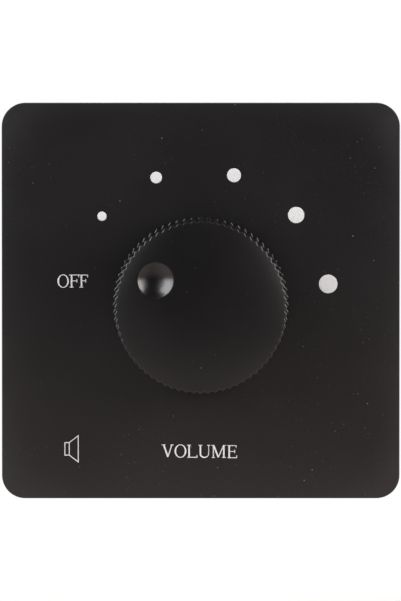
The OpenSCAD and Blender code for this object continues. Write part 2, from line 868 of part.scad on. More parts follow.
// Insulating base that holds the fixed contacts
module contact_wafer() {
    low = wafer_back_z - over;
    high = wafer_front_z + over;
    color("#8a5a34") upright() difference() {
        translate([0, 0, wafer_back_z]) linear_extrude(wafer_t) switch_outline();
        rod(pivot_d + 2 * run_clear, low, high);
        at_ears() rod(switch_screw_d + 2 * hole_clear, low, high);
        at_contacts() rod(pin_d + 2 * hole_clear, low, high);
        translate([0, common_r, 0]) rod(pin_d + 2 * hole_clear, low, high);
    }
}

// One pad for each position, with its pin
module step_contacts() {
    color("#d8c27a") upright() at_contacts() {
        rod(pad_d, wafer_front_z, wafer_front_z + pad_t);
        rod(pin_d, pin_end_z, wafer_front_z);
    }
}

// Ring that the wiper always touches, with its pin
module common_contact() {
    color("#d8c27a") upright() {
        ring(2 * (common_r + ring_half), 2 * (common_r - ring_half), wafer_front_z,
            wafer_front_z + pad_t);
        translate([0, common_r, 0]) rod(pin_d, pin_end_z, wafer_front_z);
    }
}

// Lamination stack with two windows
module transformer_core() {
    color("#5b5f63") upright() translate([0, transformer_y, 0]) difference() {
        slab(core_w, core_h, core_back_z, core_front_z);
        for (x = [-1, 1])
            translate([x * (centre_leg_w + window_w) / 2, 0, 0])
                slab(window_w, window_len, core_back_z - over, core_front_z + over);
    }
}

// Block round the centre leg, this much larger than it on each side
module leg_block(extra, length) {
    slab(centre_leg_w + 2 * extra, length, core_back_z - extra, core_front_z + extra);
}

// Tube round the centre leg with a flange and a pin rail at each end
module bobbin() {
    length = coil_len + 2 * bobbin_flange_t;
    color("#23262b") upright() difference() {
        translate([0, transformer_y, 0]) difference() {
            union() {
                leg_block(core_slack + bobbin_wall, length);
                for (y = [-1, 1]) {
                    translate([0, y * (length - bobbin_flange_t) / 2, 0])
                        leg_block(coil_side, bobbin_flange_t);
                    translate([0, y * (window_len / 2 + rail_d / 2 - bobbin_flange_t), 0])
                        slab(bobbin_w, rail_d, board_back_z - rail_h, board_back_z);
                }
            }
            leg_block(core_slack, length + 2 * over);
        }
        at_transformer_pins()
            rod(pin_d + 2 * hole_clear, board_back_z - rail_pin_grip, board_back_z + over);
    }
}

// Sleeve between two sizes round the bobbin's tube
module coil_sleeve(inner, outer) {
    translate([0, transformer_y, 0]) difference() {
        leg_block(outer, coil_len);
        leg_block(inner, coil_len + 2 * over);
    }
}

// Tapped copper winding, closed in by its tape
module winding() {
    inner = core_slack + bobbin_wall;
    color("#b06a35") upright() coil_sleeve(inner, inner + coil_build);
}

// Tape round the winding
module winding_tape() {
    inner = core_slack + bobbin_wall + coil_build;
    color("#d9b23a") upright() coil_sleeve(inner, inner + tape_t);
}

// Sheet band round three sides of the core, with feet on the board
module transformer_clamp() {
    color("#9da1a4") upright() {
        translate([0, transformer_y, 0]) {
            for (x = [-1, 1]) {
                translate([x * (core_w + clamp_t) / 2, 0, 0])
                    slab(clamp_t, core_h, core_back_z - clamp_t, core_front_z);
                translate([x * (core_w - clamp_lip) / 2, 0, 0])
                    slab(clamp_lip, core_h, core_back_z - clamp_t, core_back_z);
            }
            translate([0, (core_h + clamp_t) / 2, 0])
                slab(core_w + 2 * clamp_t, clamp_t, core_back_z - clamp_t, core_front_z);
        }
        at_clamp_feet() {
            slab(clamp_t, clamp_foot_w, core_front_z, board_back_z);
            slab(clamp_t, clamp_tab_w, board_back_z, board_front_z);
        }
    }
}

// Pins of the transformer in the bobbin's rails
module transformer_pins() {
    color("#cfd2d4") upright() at_transformer_pins()
        rod(pin_d, board_back_z - rail_pin_grip + hole_clear, board_front_z + pin_tail);
}

// Moulded housing with a cavity, a screw well and a wire entry for each way
module terminal_block() {
    width = terminal_w + 2 * terminal_end_wall;
    color("#2f7d4f") upright() difference() {
        translate([-width / 2, terminal_front_y, behind_board(terminal_h)])
            cube([width, terminal_depth, terminal_h]);
        for (way = [1 : ways]) translate([way_x(way), 0, 0]) {
            translate([-cavity_w / 2, cavity_front_y, behind_board(cavity_top)])
                cube([cavity_w, cavity_back_y - cavity_front_y, cavity_top - terminal_floor]);
            translate([-wire_entry / 2, terminal_front_y - over, behind_board(bar_under)])
                cube([wire_entry, terminal_wall + 2 * over, wire_entry]);
            translate([0, cage_y, 0]) {
                rod(terminal_screw_d + 2 * run_clear, behind_board(chamber_base + over),
                    behind_board(cavity_top - over));
                rod(terminal_head_d + 2 * chamber_clear, behind_board(chamber_top),
                    behind_board(chamber_base));
                rod(driver_hole_d, behind_board(terminal_h + over), behind_board(chamber_top - over));
            }
            translate([0, bar_leg_y + bar_t / 2, 0])
                slab(bar_leg_w + 2 * bar_hole_clear, bar_t + 2 * bar_hole_clear,
                    behind_board(terminal_floor + over), behind_board(-over));
        }
    }
}

// Angled bars that the wires are clamped against, with their board tabs
module contact_bars() {
    bar_front_y = cage_y - cage_d / 2;
    color("#d8c27a") upright() for (way = [1 : ways]) translate([way_x(way), 0, 0]) {
        translate([-bar_w / 2, bar_front_y, behind_board(bar_top)])
            cube([bar_w, bar_leg_y + bar_t - bar_front_y, bar_t]);
        translate([0, bar_leg_y + bar_t / 2, 0]) {
            slab(bar_leg_w, bar_t, behind_board(bar_top), board_back_z);
            slab(bar_tab_w, bar_t, board_back_z, board_front_z + pin_tail);
        }
    }
}

// Screw that turns in its well and raises the cage
module terminal_screw(way) {
    head_base = chamber_base + head_play;
    head_top = head_base + terminal_head_t;
    color("#c4c6c8") upright() translate([way_x(way), cage_y, 0]) difference() {
        union() {
            rod(terminal_screw_d, behind_board(head_base), behind_board(bar_top + screw_tip_gap));
            rod(terminal_head_d, behind_board(head_top), behind_board(head_base));
        }
        slab(terminal_head_d + over, terminal_slot_w, behind_board(head_top + over),
            behind_board(head_top - terminal_slot_t));
    }
}

// Cage that closes on the wire as it rises
module terminal_cage(way) {
    color("#c9b37a") upright() translate([way_x(way), cage_y, 0]) difference() {
        slab(cage_w, cage_d, behind_board(cage_top), behind_board(cage_base));
        slab(wire_entry, cage_d + 2 * over, behind_board(cage_nut_under),
            behind_board(cage_base + cage_wall));
        rod(terminal_screw_d + 2 * run_clear, behind_board(cage_top + over),
            behind_board(cage_nut_under - over));
    }
}

faceplate();
scale_print();
knob();
knob_clip();
panel_nut();
panel_washer();
frame_nut();
lock_washer();
carrier_frame();
frame_screws();
standoffs();
board_screws();
circuit_board();
switch_bushing();
switch_housing();
switch_screws();
switch_shaft();
shaft_clip();
stop_ring();
detent_wheel();
detent_spring();
contact_rotor();
wiper();
contact_wafer();
step_contacts();
common_contact();
transformer_core();
bobbin();
winding();
winding_tape();
transformer_clamp();
transformer_pins();
terminal_block();
contact_bars();
terminal_screw(1);  // terminal_screw_1
terminal_screw(2);  // terminal_screw_2
terminal_screw(3);  // terminal_screw_3
terminal_screw(4);  // terminal_screw_4
terminal_cage(1);  // terminal_cage_1
terminal_cage(2);  // terminal_cage_2
terminal_cage(3);  // terminal_cage_3
terminal_cage(4);  // terminal_cage_4
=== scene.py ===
# %% [markdown]
# # A wall volume control
# The object is a square satin-black cover with one big ribbed knob, a scale of five growing
# dots, and behind it a rotary switch, a board, a tapped transformer and screw terminals.
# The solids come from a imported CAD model. This lesson gives each of them a finish, and makes
# the pieces whose skin has to be finer than the solid: the cover, the knob, the print, the
# tracks and solder of the board, the core's sheets and the coil's tape.

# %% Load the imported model
import math

import bmesh
import bpy
import numpy as np
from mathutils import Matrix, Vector


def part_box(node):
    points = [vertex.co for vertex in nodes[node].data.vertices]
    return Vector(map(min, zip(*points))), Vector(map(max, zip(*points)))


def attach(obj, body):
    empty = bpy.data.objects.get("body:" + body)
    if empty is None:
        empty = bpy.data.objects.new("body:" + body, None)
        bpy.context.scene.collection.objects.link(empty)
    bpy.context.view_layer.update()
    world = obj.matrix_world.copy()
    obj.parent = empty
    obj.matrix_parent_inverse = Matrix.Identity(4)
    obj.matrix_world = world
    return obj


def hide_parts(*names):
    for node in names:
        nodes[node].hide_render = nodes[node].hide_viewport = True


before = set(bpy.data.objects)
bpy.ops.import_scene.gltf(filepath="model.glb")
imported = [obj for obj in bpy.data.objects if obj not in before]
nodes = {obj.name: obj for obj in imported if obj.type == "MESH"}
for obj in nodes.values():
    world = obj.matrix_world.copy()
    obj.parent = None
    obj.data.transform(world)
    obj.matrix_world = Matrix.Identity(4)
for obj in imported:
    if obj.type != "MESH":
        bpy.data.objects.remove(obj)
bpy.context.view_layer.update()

# %% [markdown]
# ## Two frames
# A wall plate is easiest to think of as a drawing seen from the front: x to the right, y up,
# z out of the wall, in millimetres. Blender works in metres with Z up and the wall at Y = 0.
# One small function carries arrays of drawing points over, so every later formula can stay
# in the drawing's own terms. A second one reads a CAD node's box back into the drawing.

# %% From the drawing to the wall and back
MM = 0.001


def on_wall(x, y, z):
    """Drawing millimetres to frame metres: (x, y, z) becomes (x, -z, y) / 1000."""
    x, y, z = np.broadcast_arrays(x, y, z)
    return np.stack([x, -z, y], -1) * MM


def drawing_box(node):
    """A CAD node's lowest and highest (x, y, z) in the drawing."""
    low, high = (np.array(corner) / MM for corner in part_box(node))
    return np.array([low[0], low[2], -high[1]]), np.array([high[0], high[2], -low[1]])


cover_low, cover_high = drawing_box("faceplate")
knob_low, knob_high = drawing_box("knob")
print("cover", np.round(cover_low, 2), np.round(cover_high, 2))

# %% [markdown]
# ## From an array of points to a mesh
# Nearly every made thing is a sheet of points: one parameter runs along it, another across.
# If the points stand in a grid, the faces are only index arithmetic, so the whole mesh is
# a few array operations. Rows that shrink to one point become poles when doubles are merged,
# and the normals are then turned outwards. Creases come from the angle between faces.

# %% Grids into pieces
WELD = 2e-7


def grid_faces(rows, cols, wrap_rows, wrap_cols):
    """Quads of a grid: each joins point (r, c) to (r, c+1), (r+1, c+1) and (r+1, c)."""
    r, c = np.meshgrid(np.arange(rows - (not wrap_rows)), np.arange(cols - (not wrap_cols)),
                       indexing="ij")
    below, right = (r + 1) % rows, (c + 1) % cols
    corners = [r * cols + c, r * cols + right, below * cols + right, below * cols + c]
    return np.stack(corners, -1).reshape(-1, 4)


def piece(name, sheets, body, crease=32):
    """Joins sheets into one mesh that rides on a body; edges over crease degrees stay sharp.

    A sheet is (points, wrap_rows, wrap_cols): a grid, and whether it closes each way.
    """
    points, faces, start = [], [], 0
    for grid, wrap_rows, wrap_cols in sheets:
        rows, cols = grid.shape[:2]
        points.append(grid.reshape(-1, 3))
        faces.append(grid_faces(rows, cols, wrap_rows, wrap_cols) + start)
        start += rows * cols
    mesh = bpy.data.meshes.new(name)
    mesh.from_pydata(np.concatenate(points), [], np.concatenate(faces))
    work = bmesh.new()
    work.from_mesh(mesh)
    bmesh.ops.remove_doubles(work, verts=work.verts, dist=WELD)
    bmesh.ops.recalc_face_normals(work, faces=work.faces)
    work.to_mesh(mesh)
    work.free()
    mesh.shade_smooth()
    mesh.set_sharp_from_angle(angle=math.radians(crease))
    made = bpy.data.objects.new(name, mesh)
    bpy.context.scene.collection.objects.link(made)
    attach(made, body)
    print(f"{name}: {len(mesh.vertices)} points, {len(mesh.polygons)} faces")
    return made


# %% [markdown]
# ## The cover
# The cover is one moulding: a front with rounded corners that is flat in the middle and falls
# off very slightly towards its edges, a softly broken front edge, a rim that stands on the
# wall, and a boss round the nut. It could be a cube with bevels, but a section carried round
# an outline says how it is really shaped: each row of the grid is the outline pulled in by
# some distance, at some height, and the rows near the middle are circles. The front edge is
# a quarter turn of small radius, which is what catches a thin line of light.

# %% The cover's outline
front_z = cover_high[2]
cover_w, cover_h = (cover_high - cover_low)[:2]
cover_mid = (cover_high + cover_low)[:2] / 2
CORNER_R, LEAST_R, EDGE_R, RIM, WALL = 5.0, 0.6, 0.16, 2.0, 2.2
inner_z = front_z - WALL


def rounded_outline(w, h, r, arc=12, side=30):
    """Points of a rounded rectangle: four quarter circles, each followed by one straight side."""
    turn = (np.arange(4)[:, None] + np.linspace(0, 1, arc + 1)) * np.pi / 2
    centre = np.array([[1, 1], [-1, 1], [-1, -1], [1, -1]]) * [w / 2 - r, h / 2 - r]
    bend = centre[:, None] + r * np.stack([np.cos(turn), np.sin(turn)], -1)
    t = (np.arange(1, side + 1) / (side + 1))[:, None]
    straight = bend[:, -1:] * (1 - t) + np.roll(bend, -1, 0)[:, :1] * t
    return np.concatenate([bend, straight], 1).reshape(-1, 2)


def cover_row(inset, z):
    """The cover's outline, moved inwards by inset, at height z."""
    corner_r = max(CORNER_R - inset, LEAST_R)
    flat = rounded_outline(cover_w - 2 * inset, cover_h - 2 * inset, corner_r) + cover_mid
    return np.column_stack([flat, np.full(len(flat), z)])


def round_row(r, z):
    """A circle about the shaft whose points lie in the outline's own directions, at height z."""
    flat = rounded_outline(cover_w, cover_h, CORNER_R) + cover_mid
    circle_xy = r * flat / np.linalg.norm(flat, axis=1, keepdims=True)
    return np.column_stack([circle_xy, np.full(len(flat), z)])


print("outline", round(cover_w, 2), "by", round(cover_h, 2), "mm, corners", CORNER_R)

# %% The cover's section, carried round
HOLE_R, HOLE_LAND, BOSS_OUT_R, BOSS_IN_R, BOSS_Z = 5.2, 0.4, 10.98, 8.98, 1.2
CROWN, CROWN_W, CROWN_END = 0.6, 13.0, 0.3
RIM_BREAK, INNER_BREAK = 0.25, 0.2
quarter = np.linspace(0, np.pi / 2, 9)
front = [round_row(HOLE_R, front_z), round_row(HOLE_R + HOLE_LAND, front_z)]
crown = [cover_row(inset, front_z - CROWN * ((CROWN_W - inset) / (CROWN_W - EDGE_R)) ** 3)
         for inset in np.linspace(CROWN_W, EDGE_R + CROWN_END, 10)]
edge = [cover_row(EDGE_R * (1 - math.sin(a)), front_z - CROWN - EDGE_R * (1 - math.cos(a)))
        for a in quarter]
rim = [cover_row(inset, z) for inset, z in [
    (0, RIM_BREAK), (RIM_BREAK, 0), (RIM - INNER_BREAK, 0), (RIM, INNER_BREAK), (RIM, inner_z)]]
boss = [round_row(r, z) for r, z in [
    (BOSS_OUT_R, inner_z), (BOSS_OUT_R, BOSS_Z), (BOSS_IN_R, BOSS_Z), (BOSS_IN_R, inner_z),
    (HOLE_R, inner_z)]]
cover_rows = np.stack([*front, *crown, *edge, *rim, *boss])
cover_skin = on_wall(*np.moveaxis(cover_rows, -1, 0))
print("section of", len(cover_rows), "rows")

# %% Webs behind the cover
WEB_X, WEB_HALF, WEB_Z = 9.98, 0.6, 1.6


def block(low, high):
    """A closed box as a four-sided tube with its ends drawn to a point on the axis."""
    x, y = np.array([0, 1, 1, 0]), np.array([0, 0, 1, 1])
    middle = (low + high) / 2
    side = np.stack([np.where(x, high[0], low[0]), np.where(y, high[1], low[1])], -1)
    pole = np.repeat(middle[None, :2], 4, 0)
    flat = np.stack([pole, side, side, pole])
    z = np.array([low[2], low[2], high[2], high[2]])[:, None]
    return on_wall(flat[..., 0], flat[..., 1], z)


web_reach = cover_h / 2 - RIM / 2
webs = [block(np.array([x - WEB_HALF, cover_mid[1] - web_reach, WEB_Z]),
              np.array([x + WEB_HALF, cover_mid[1] + web_reach, inner_z + WALL / 2]))
        for x in (-WEB_X, WEB_X)]
cover_sheets = [(cover_skin, True, True)] + [(web, False, True) for web in webs]
cover = piece("cover", cover_sheets, "base")
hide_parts("faceplate")

# %% [markdown]
# ## The knob
# The knob is a tall disc whose flank is cut into seventy-two ribs, with a round dish near the
# edge of its face for a fingertip. The ribs are a triangle wave whose crests are a little
# rounded, as a moulding's are: the arcsine of a cosine gives just that. Two narrow roundings
# carry all the sparkle: the edge where the ribs run out into the face, and a small flare at
# the foot, where the mould parts. The face is a shallow dome, filled without a seam by circles
# that slide and grow from the dish's rim to the edge. So the dish has a true round rim in a
# mesh that stays one grid, and the last rows take on the ribs' zig-zag.

# %% The knob's ribs
RIBS, PER_RIB, RIB_DEPTH, CREST = 72, 12, 0.43, 0.96
FOOT_R, WAIST_R, FACE_R = 19.0, 18.82, 18.60
FLARE, EDGE, DOME, SAG, SHOULDER = 0.36, 0.25, 2.0, 0.14, 12.0
base_z, top_z = knob_low[2], knob_high[2]


def circle(count):
    """Angles of points spread evenly round a full turn."""
    return np.linspace(0, 2 * np.pi, count, endpoint=False)


around = circle(RIBS * PER_RIB)
wave = np.arcsin(CREST * np.cos(RIBS * around)) / np.arcsin(CREST)
cut = RIB_DEPTH * (1 - wave) / 2
edge_r = FACE_R - EDGE - cut
print("rib pitch at the foot", round(2 * math.pi * FOOT_R / RIBS, 2), "mm, depth", RIB_DEPTH)

# %% The knob's face and finger dish
DISH_R, DISH_DEPTH, DISH_LIP = 3.80, 1.58, 0.1
DISH_REACH, DISH_ANGLE = 11.33, math.radians(149.0)
NEARLY = 0.999
dish_mid = DISH_REACH * np.array([math.cos(DISH_ANGLE), math.sin(DISH_ANGLE)])
ball_r = (DISH_R**2 + DISH_DEPTH**2) / (2 * DISH_DEPTH)


def face_height(x, y):
    """A shallow dome that falls away at the edge, and the dish cut into it.

    The dish is the lower of dome and ball; a root of their distance squared plus the lip
    squared joins the two smoothly.
    """
    out = np.hypot(x, y) / FACE_R
    dome = top_z - DOME * out**2 - SAG * out**SHOULDER
    reach = np.minimum(np.hypot(x - dish_mid[0], y - dish_mid[1]), NEARLY * ball_r)
    ball = ball_r - DISH_DEPTH - np.sqrt(ball_r**2 - reach**2)
    sunk = (ball - np.sqrt(ball**2 + DISH_LIP**2)) / 2
    return np.minimum(dome + sunk + DISH_LIP**2 / (4 * ball_r), top_z)


print("the dish is cut by a ball of", round(ball_r, 2), "mm radius")

# %% Circles that slide and grow over the face
LAST_CIRCLE = 16.9
grow = np.concatenate([np.sin(np.linspace(0, 1, 13) * np.pi / 2)[:-1], [0.995, 1]])
slide = np.concatenate([[0.012, 0.03, 0.06], np.linspace(0.1, 0.8, 8), np.linspace(0.86, 1, 5)])
to_ribs = np.array([0.35, 0.65, 0.85, 1.0])[:, None]
centre = np.concatenate([np.ones_like(grow), 1 - slide])[:, None]
radius = np.concatenate([DISH_R * grow, DISH_R + slide * (LAST_CIRCLE - DISH_R)])[:, None]
circle_x = centre * dish_mid[0] + radius * np.cos(around)
circle_y = centre * dish_mid[1] + radius * np.sin(around)
zigzag_r = LAST_CIRCLE + (edge_r - LAST_CIRCLE) * to_ribs
face_x = np.concatenate([circle_x, zigzag_r * np.cos(around)])
face_y = np.concatenate([circle_y, zigzag_r * np.sin(around)])
face_z = face_height(face_x, face_y)
print("lowest place of the face is", round(float(top_z - face_z.min()), 2), "mm down")

# %% The knob's flank and foot
LAND = 0.12
lean = math.atan((2 * DOME + SAG * SHOULDER) / FACE_R)
turn = np.linspace(lean, np.pi / 2, 7)[1:, None]
round_r = edge_r + EDGE * (np.sin(turn) - math.sin(lean))
round_z = face_z[-1] - EDGE * (math.cos(lean) - np.cos(turn))
down = np.linspace(0, 1, 5)[1:, None]
flank_r = round_r[-1] + (WAIST_R - cut - round_r[-1]) * down
flank_z = round_z[-1] + (base_z + FLARE - round_z[-1]) * down
bend = np.linspace(0, np.pi / 2, 6)[1:, None]
flare_r = WAIST_R - cut + (FOOT_R - WAIST_R) * (1 - np.cos(bend))
flare_z = base_z + LAND + (FLARE - LAND) * (1 - np.sin(bend)) + 0 * flare_r
foot_r = FOOT_R - cut - np.array([LAND / 2, LAND])[:, None]
foot_z = base_z + np.array([LAND / 4, 0])[:, None] + 0 * foot_r
print("face edge leans by", round(math.degrees(lean), 1), "degrees")

# %% The knob's inside, and the whole skin
HOLLOW_R, MOUTH, CEILING, HUB_R, HUB_Z = 15.9, 0.2, 19.6, 6.0, 11.5
BORE_R, BORE_FLAT, BORE_ROWS = 3.05, 2.01, slice(5, 7)
inside = np.array([
    [HOLLOW_R + MOUTH, base_z], [HOLLOW_R, base_z + MOUTH], [HOLLOW_R, CEILING], [HUB_R, CEILING],
    [HUB_R, HUB_Z], [BORE_R, HUB_Z], [BORE_R, CEILING], [0, CEILING]])
wall = np.repeat(inside[..., None], len(around), -1)
wall[BORE_ROWS, 0] = np.minimum(BORE_R, BORE_FLAT / np.maximum(-np.sin(around), 1e-6))
skin_r = np.concatenate([round_r, flank_r, flare_r, foot_r, wall[:, 0]])
skin_z = np.concatenate([round_z, flank_z, flare_z, foot_z, wall[:, 1]])
knob_skin = np.concatenate([
    on_wall(face_x, face_y, face_z),
    on_wall(skin_r * np.cos(around), skin_r * np.sin(around), skin_z)])
print("skin of", len(knob_skin), "rows")

# %% Spokes, and the knob as one piece
SPOKE, SPOKE_IN, SPOKE_OUT, SPOKE_SET, SPOKE_SUNK = 0.6, 5.4, 16.2, 0.8, 0.4
spoke_low = [(SPOKE_IN, -SPOKE), (-SPOKE_OUT, -SPOKE), (-SPOKE, SPOKE_IN), (-SPOKE, -SPOKE_OUT)]
spoke_high = [(SPOKE_OUT, SPOKE), (-SPOKE_IN, SPOKE), (SPOKE, SPOKE_OUT), (SPOKE, -SPOKE_IN)]
spokes = [block(np.append(low, HUB_Z + SPOKE_SET), np.append(high, CEILING + SPOKE_SUNK))
          for low, high in zip(spoke_low, spoke_high)]
knob_sheets = [(skin, False, True) for skin in [knob_skin] + spokes]
knob = piece("dial_knob", knob_sheets, "dial", crease=48)
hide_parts("knob")

# %% [markdown]
# ## The print on the cover
# The marks are screen-printed: a film of ink a few hundredths of a millimetre thick, whose
# edge is rounded by its own surface tension. A dot is a flat disc with that soft edge. Lines,
# the loudspeaker sign and the letters are ribbons: a thin flat section carried along a path,
# with a width that may change on the way, as a broad pen changes it. That is enough to draw
# generic capitals with thick stems, hairlines and small feet, without any font.

# %% Dots
INK, SUNK = 0.05, 0.03
DOT_RING_X, DOT_RING_Y = -0.16, 1.03
dot_turn = np.radians([139.5, 109.7, 74.75, 41.45, 7.1])
dot_ring = np.array([27.84, 28.08, 27.90, 27.70, 27.89])
dot_r = np.linspace(2.0, 4.05, 5) / 2
dot_share = np.array([0, 0.5, 0.9, 0.96, 0.99, 1.0])
dot_rise = np.append(INK * np.array([1, 1, 1, 0.85, 0.5]), -SUNK)
disc_turn = circle(56)
spread = dot_r[:, None, None] * dot_share[:, None]
dot_x = DOT_RING_X + (dot_ring * np.cos(dot_turn))[:, None, None] + spread * np.cos(disc_turn)
dot_y = DOT_RING_Y + (dot_ring * np.sin(dot_turn))[:, None, None] + spread * np.sin(disc_turn)
dots = on_wall(dot_x, dot_y, front_z + dot_rise[:, None])
print("dots", np.round(2 * dot_r, 2), "mm across")

# %% Ribbons of ink
LIFT = 0.002


def ribbon(path, half, low, high, closed=False):
    """A flat four-cornered section carried along a path; at a bend the edge is mitred."""
    path = np.asarray(path, float)
    ahead = np.diff(path, axis=0, append=path[:1])
    ahead /= np.linalg.norm(ahead, axis=1, keepdims=True)
    after = np.stack([-ahead[:, 1], ahead[:, 0]], -1)
    if not closed:
        after[-1] = after[-2]
    before = np.roll(after, 1, 0)
    if not closed:
        before[0] = after[0]
    mitre = (before + after) / (1 + (before * after).sum(1, keepdims=True))
    reach = mitre * np.broadcast_to(half, len(path))[:, None]
    left, right = path + reach, path - reach
    flat = np.stack([left, left, right, right], 1)
    z = np.array([low, high, high, low])
    if not closed:
        ends = flat[[0, -1]].mean(1, keepdims=True) + 0 * flat[[0, -1]]
        flat = np.concatenate([ends[:1], flat, ends[1:]])
    return on_wall(flat[..., 0], flat[..., 1], z), closed, True


print("a straight ribbon has", len(ribbon([[0, 0], [1, 0]], 0.1, 0, INK)[0]), "rows, ends included")

# %% The loudspeaker sign, and the marks as one piece
SIGN_AT, SIGN_LINE = np.array([-27.89, -31.20]), 0.096
coil_box = np.array([[-1.48, -1.36], [-0.54, -1.36], [-0.54, 1.36], [-1.48, 1.36]])
cone = np.array([[-0.54, -1.36], [1.4, -2.84], [1.4, 2.84], [-0.54, 1.36]])
sign = [ribbon(coil_box + SIGN_AT, SIGN_LINE, front_z - SUNK, front_z + INK, True),
        ribbon(cone + SIGN_AT, SIGN_LINE, front_z - SUNK, front_z + INK + LIFT, True)]
marks = piece("scale_marks", [(dot, False, True) for dot in dots] + sign, "base")
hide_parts("scale_print")

# %% [markdown]
# ## Letters with a broad pen
# A capital is a handful of strokes. Stems are thick, arms and joins are hairlines, and a foot
# is a short hairline across a stem's end. The round letters are ellipses whose half width
# swells where the pen moves upright. Each stroke lies two thousandths of a millimetre higher
# than the last, so that no two faces share a plane where strokes cross.

# %% Strokes
CAP, THICK, HAIR, FOOT, OVERSHOOT = 2.78, 0.17, 0.076, 0.42, 0.05
CUP_LEFT, CUP_RIGHT, CUP_RISE = 0.5, 0.42, 0.3


def stroke(x0, y0, x1, y1, half=HAIR):
    """A straight stroke; heights are shares of the capital's height."""
    return np.array([[x0, y0 * CAP], [x1, y1 * CAP]]), half, False


def foot(x, y, reach=FOOT):
    """A hairline across a stem's end, at the bottom (y = 0) or the top (y = 1)."""
    level = HAIR / CAP if y == 0 else 1 - HAIR / CAP
    return stroke(x - reach, level, x + reach, level)


def bowl(w):
    """The letter O: an ellipse, thick at its sides by the square of the cosine."""
    t = circle(48)
    path = np.column_stack([w / 2 + (w / 2 - THICK) * np.cos(t),
                            CAP / 2 + (CAP / 2 - HAIR + OVERSHOOT) * np.sin(t)])
    return path, HAIR + (THICK - HAIR) * np.cos(t) ** 2, True


def cup(w):
    """The letter U: down a thick stem, round half an ellipse, up a hairline."""
    t = np.linspace(np.pi, 2 * np.pi, 25)
    x0, x1, y = CUP_LEFT, w - CUP_RIGHT, CUP_RISE * CAP
    curve = np.column_stack([(x0 + x1) / 2 + (x1 - x0) / 2 * np.cos(t),
                             y + (y - HAIR) * np.sin(t)])
    path = np.concatenate([[[x0, CAP - HAIR]], curve, [[x1, CAP - HAIR]]])
    fade = np.concatenate([[0], np.linspace(0, 1, len(t)), [1]])
    return path, THICK + (HAIR - THICK) * fade * fade * (3 - 2 * fade), False


print("an O has", len(bowl(CAP)[0]), "points, a U has", len(cup(CAP)[0]))

# %% Capitals
STEM, TICK, MID_TICK = 0.55, 0.2, 0.13


def arms(ends, heights):
    """Hairline arms of E, F and L from the stem, each with a short tick at its end."""
    made = []
    for end, y in zip(ends, heights):
        level = min(max(y, HAIR / CAP), 1 - HAIR / CAP)
        low, high = (0.0, TICK) if y == 0 else (-TICK, 0.0) if y == 1 else (-MID_TICK, MID_TICK)
        made += [stroke(STEM, level, end, level), stroke(end, y + low, end, y + high)]
    return made


def capital(letter, w):
    """Strokes of one capital of width w, from its lower left corner."""
    stem, short = stroke(STEM, 0, STEM, 1, THICK), STEM - 0.15
    return {
        "O": lambda: [bowl(w)],
        "U": lambda: [cup(w), foot(CUP_LEFT, 1), foot(w - CUP_RIGHT, 1, 0.3)],
        "F": lambda: [stem, foot(STEM, 0), foot(STEM - 0.2, 1, 0.3)]
        + arms([w - 0.12, w - 0.5], [1, 0.52]),
        "E": lambda: [stem, foot(short, 0, 0.25), foot(short, 1, 0.25)]
        + arms([w - 0.1, w - 0.25, w - 0.55], [0, 1, 0.52]),
        "L": lambda: [stem, foot(STEM, 1), foot(short, 0, 0.25)] + arms([w - 0.12], [0]),
        "V": lambda: [stroke(0.5, 1, 1.42, 0.03, THICK), stroke(1.42, 0.03, w - 0.48, 1, 0.11),
                      foot(0.45, 1), foot(w - 0.45, 1, 0.34)],
        "M": lambda: [stroke(0.52, 0, 0.52, 1, 0.1), stroke(0.55, 1, 1.6, 0.05, THICK),
                      stroke(1.6, 0.05, w - 0.62, 1, 0.1),
                      stroke(w - 0.62, 0, w - 0.62, 1, THICK), foot(0.52, 0, 0.32),
                      foot(w - 0.62, 0), foot(0.4, 1, 0.3), foot(w - 0.5, 1, 0.34)],
    }[letter]()


print("strokes:", {letter: len(capital(letter, CAP)) for letter in "OFVLUME"})

# %% Words


def word(name, letters, lefts, widths, base_y, lean=0.0):
    """Capitals moved to their own left edges and to the base line, which falls by lean."""
    strokes = [(path + [left, base_y - lean * (left - lefts[0])], half, closed)
               for letter, left, w in zip(letters, lefts, widths)
               for path, half, closed in capital(letter, w)]
    tops = front_z + 0.5 * INK + LIFT * np.arange(len(strokes))
    sheets = [ribbon(path, half, front_z - SUNK, top, closed)
              for (path, half, closed), top in zip(strokes, tops)]
    return piece(name, sheets, "base")


off_word = word("word_off", "OFF", [-30.95, -28.45, -26.32], [2.46, 2.2, 1.98], 3.71)
volume_word = word("word_volume", "VOLUME", [-8.53, -5.67, -3.07, -0.57, 2.20, 5.60],
                   [2.78, 2.56, 2.38, 2.7, 3.4, 2.28], -33.04, 0.011)

# %% [markdown]
# ## The core's sheets
# A small transformer's core is a stack of thin iron sheets cut as E and I. Seen from the edge
# it is finely striped, and the stripes are real steps, not paint. One bar of the stack is a
# comb-shaped section pushed along its length: every half millimetre the flank steps in a
# little between two sheets. Three legs and two yokes make the core, with a hair of air where
# the I sheets meet the E sheets.

# %% Bars of stacked sheets
core_low, core_high = drawing_box("transformer_core")
LEG, CENTRE_LEG, SHEET, GROOVE, GROOVE_W, AIR = 7.0, 13.0, 0.5, 0.09, 0.06, 0.06
sheets_in_stack = int(round((core_high[2] - core_low[2]) / SHEET))


def comb(half):
    """Closed section of a bar: combed flanks at plus and minus half, over the stack's height."""
    n = np.arange(sheets_in_stack)[:, None] * SHEET + core_low[2]
    z = (n + np.array([0, GROOVE_W, SHEET - GROOVE_W, SHEET])).ravel()
    out = np.tile([half - GROOVE, half, half, half - GROOVE], sheets_in_stack)
    return np.column_stack([np.concatenate([out, -out[::-1]]), np.concatenate([z, z[::-1]])])


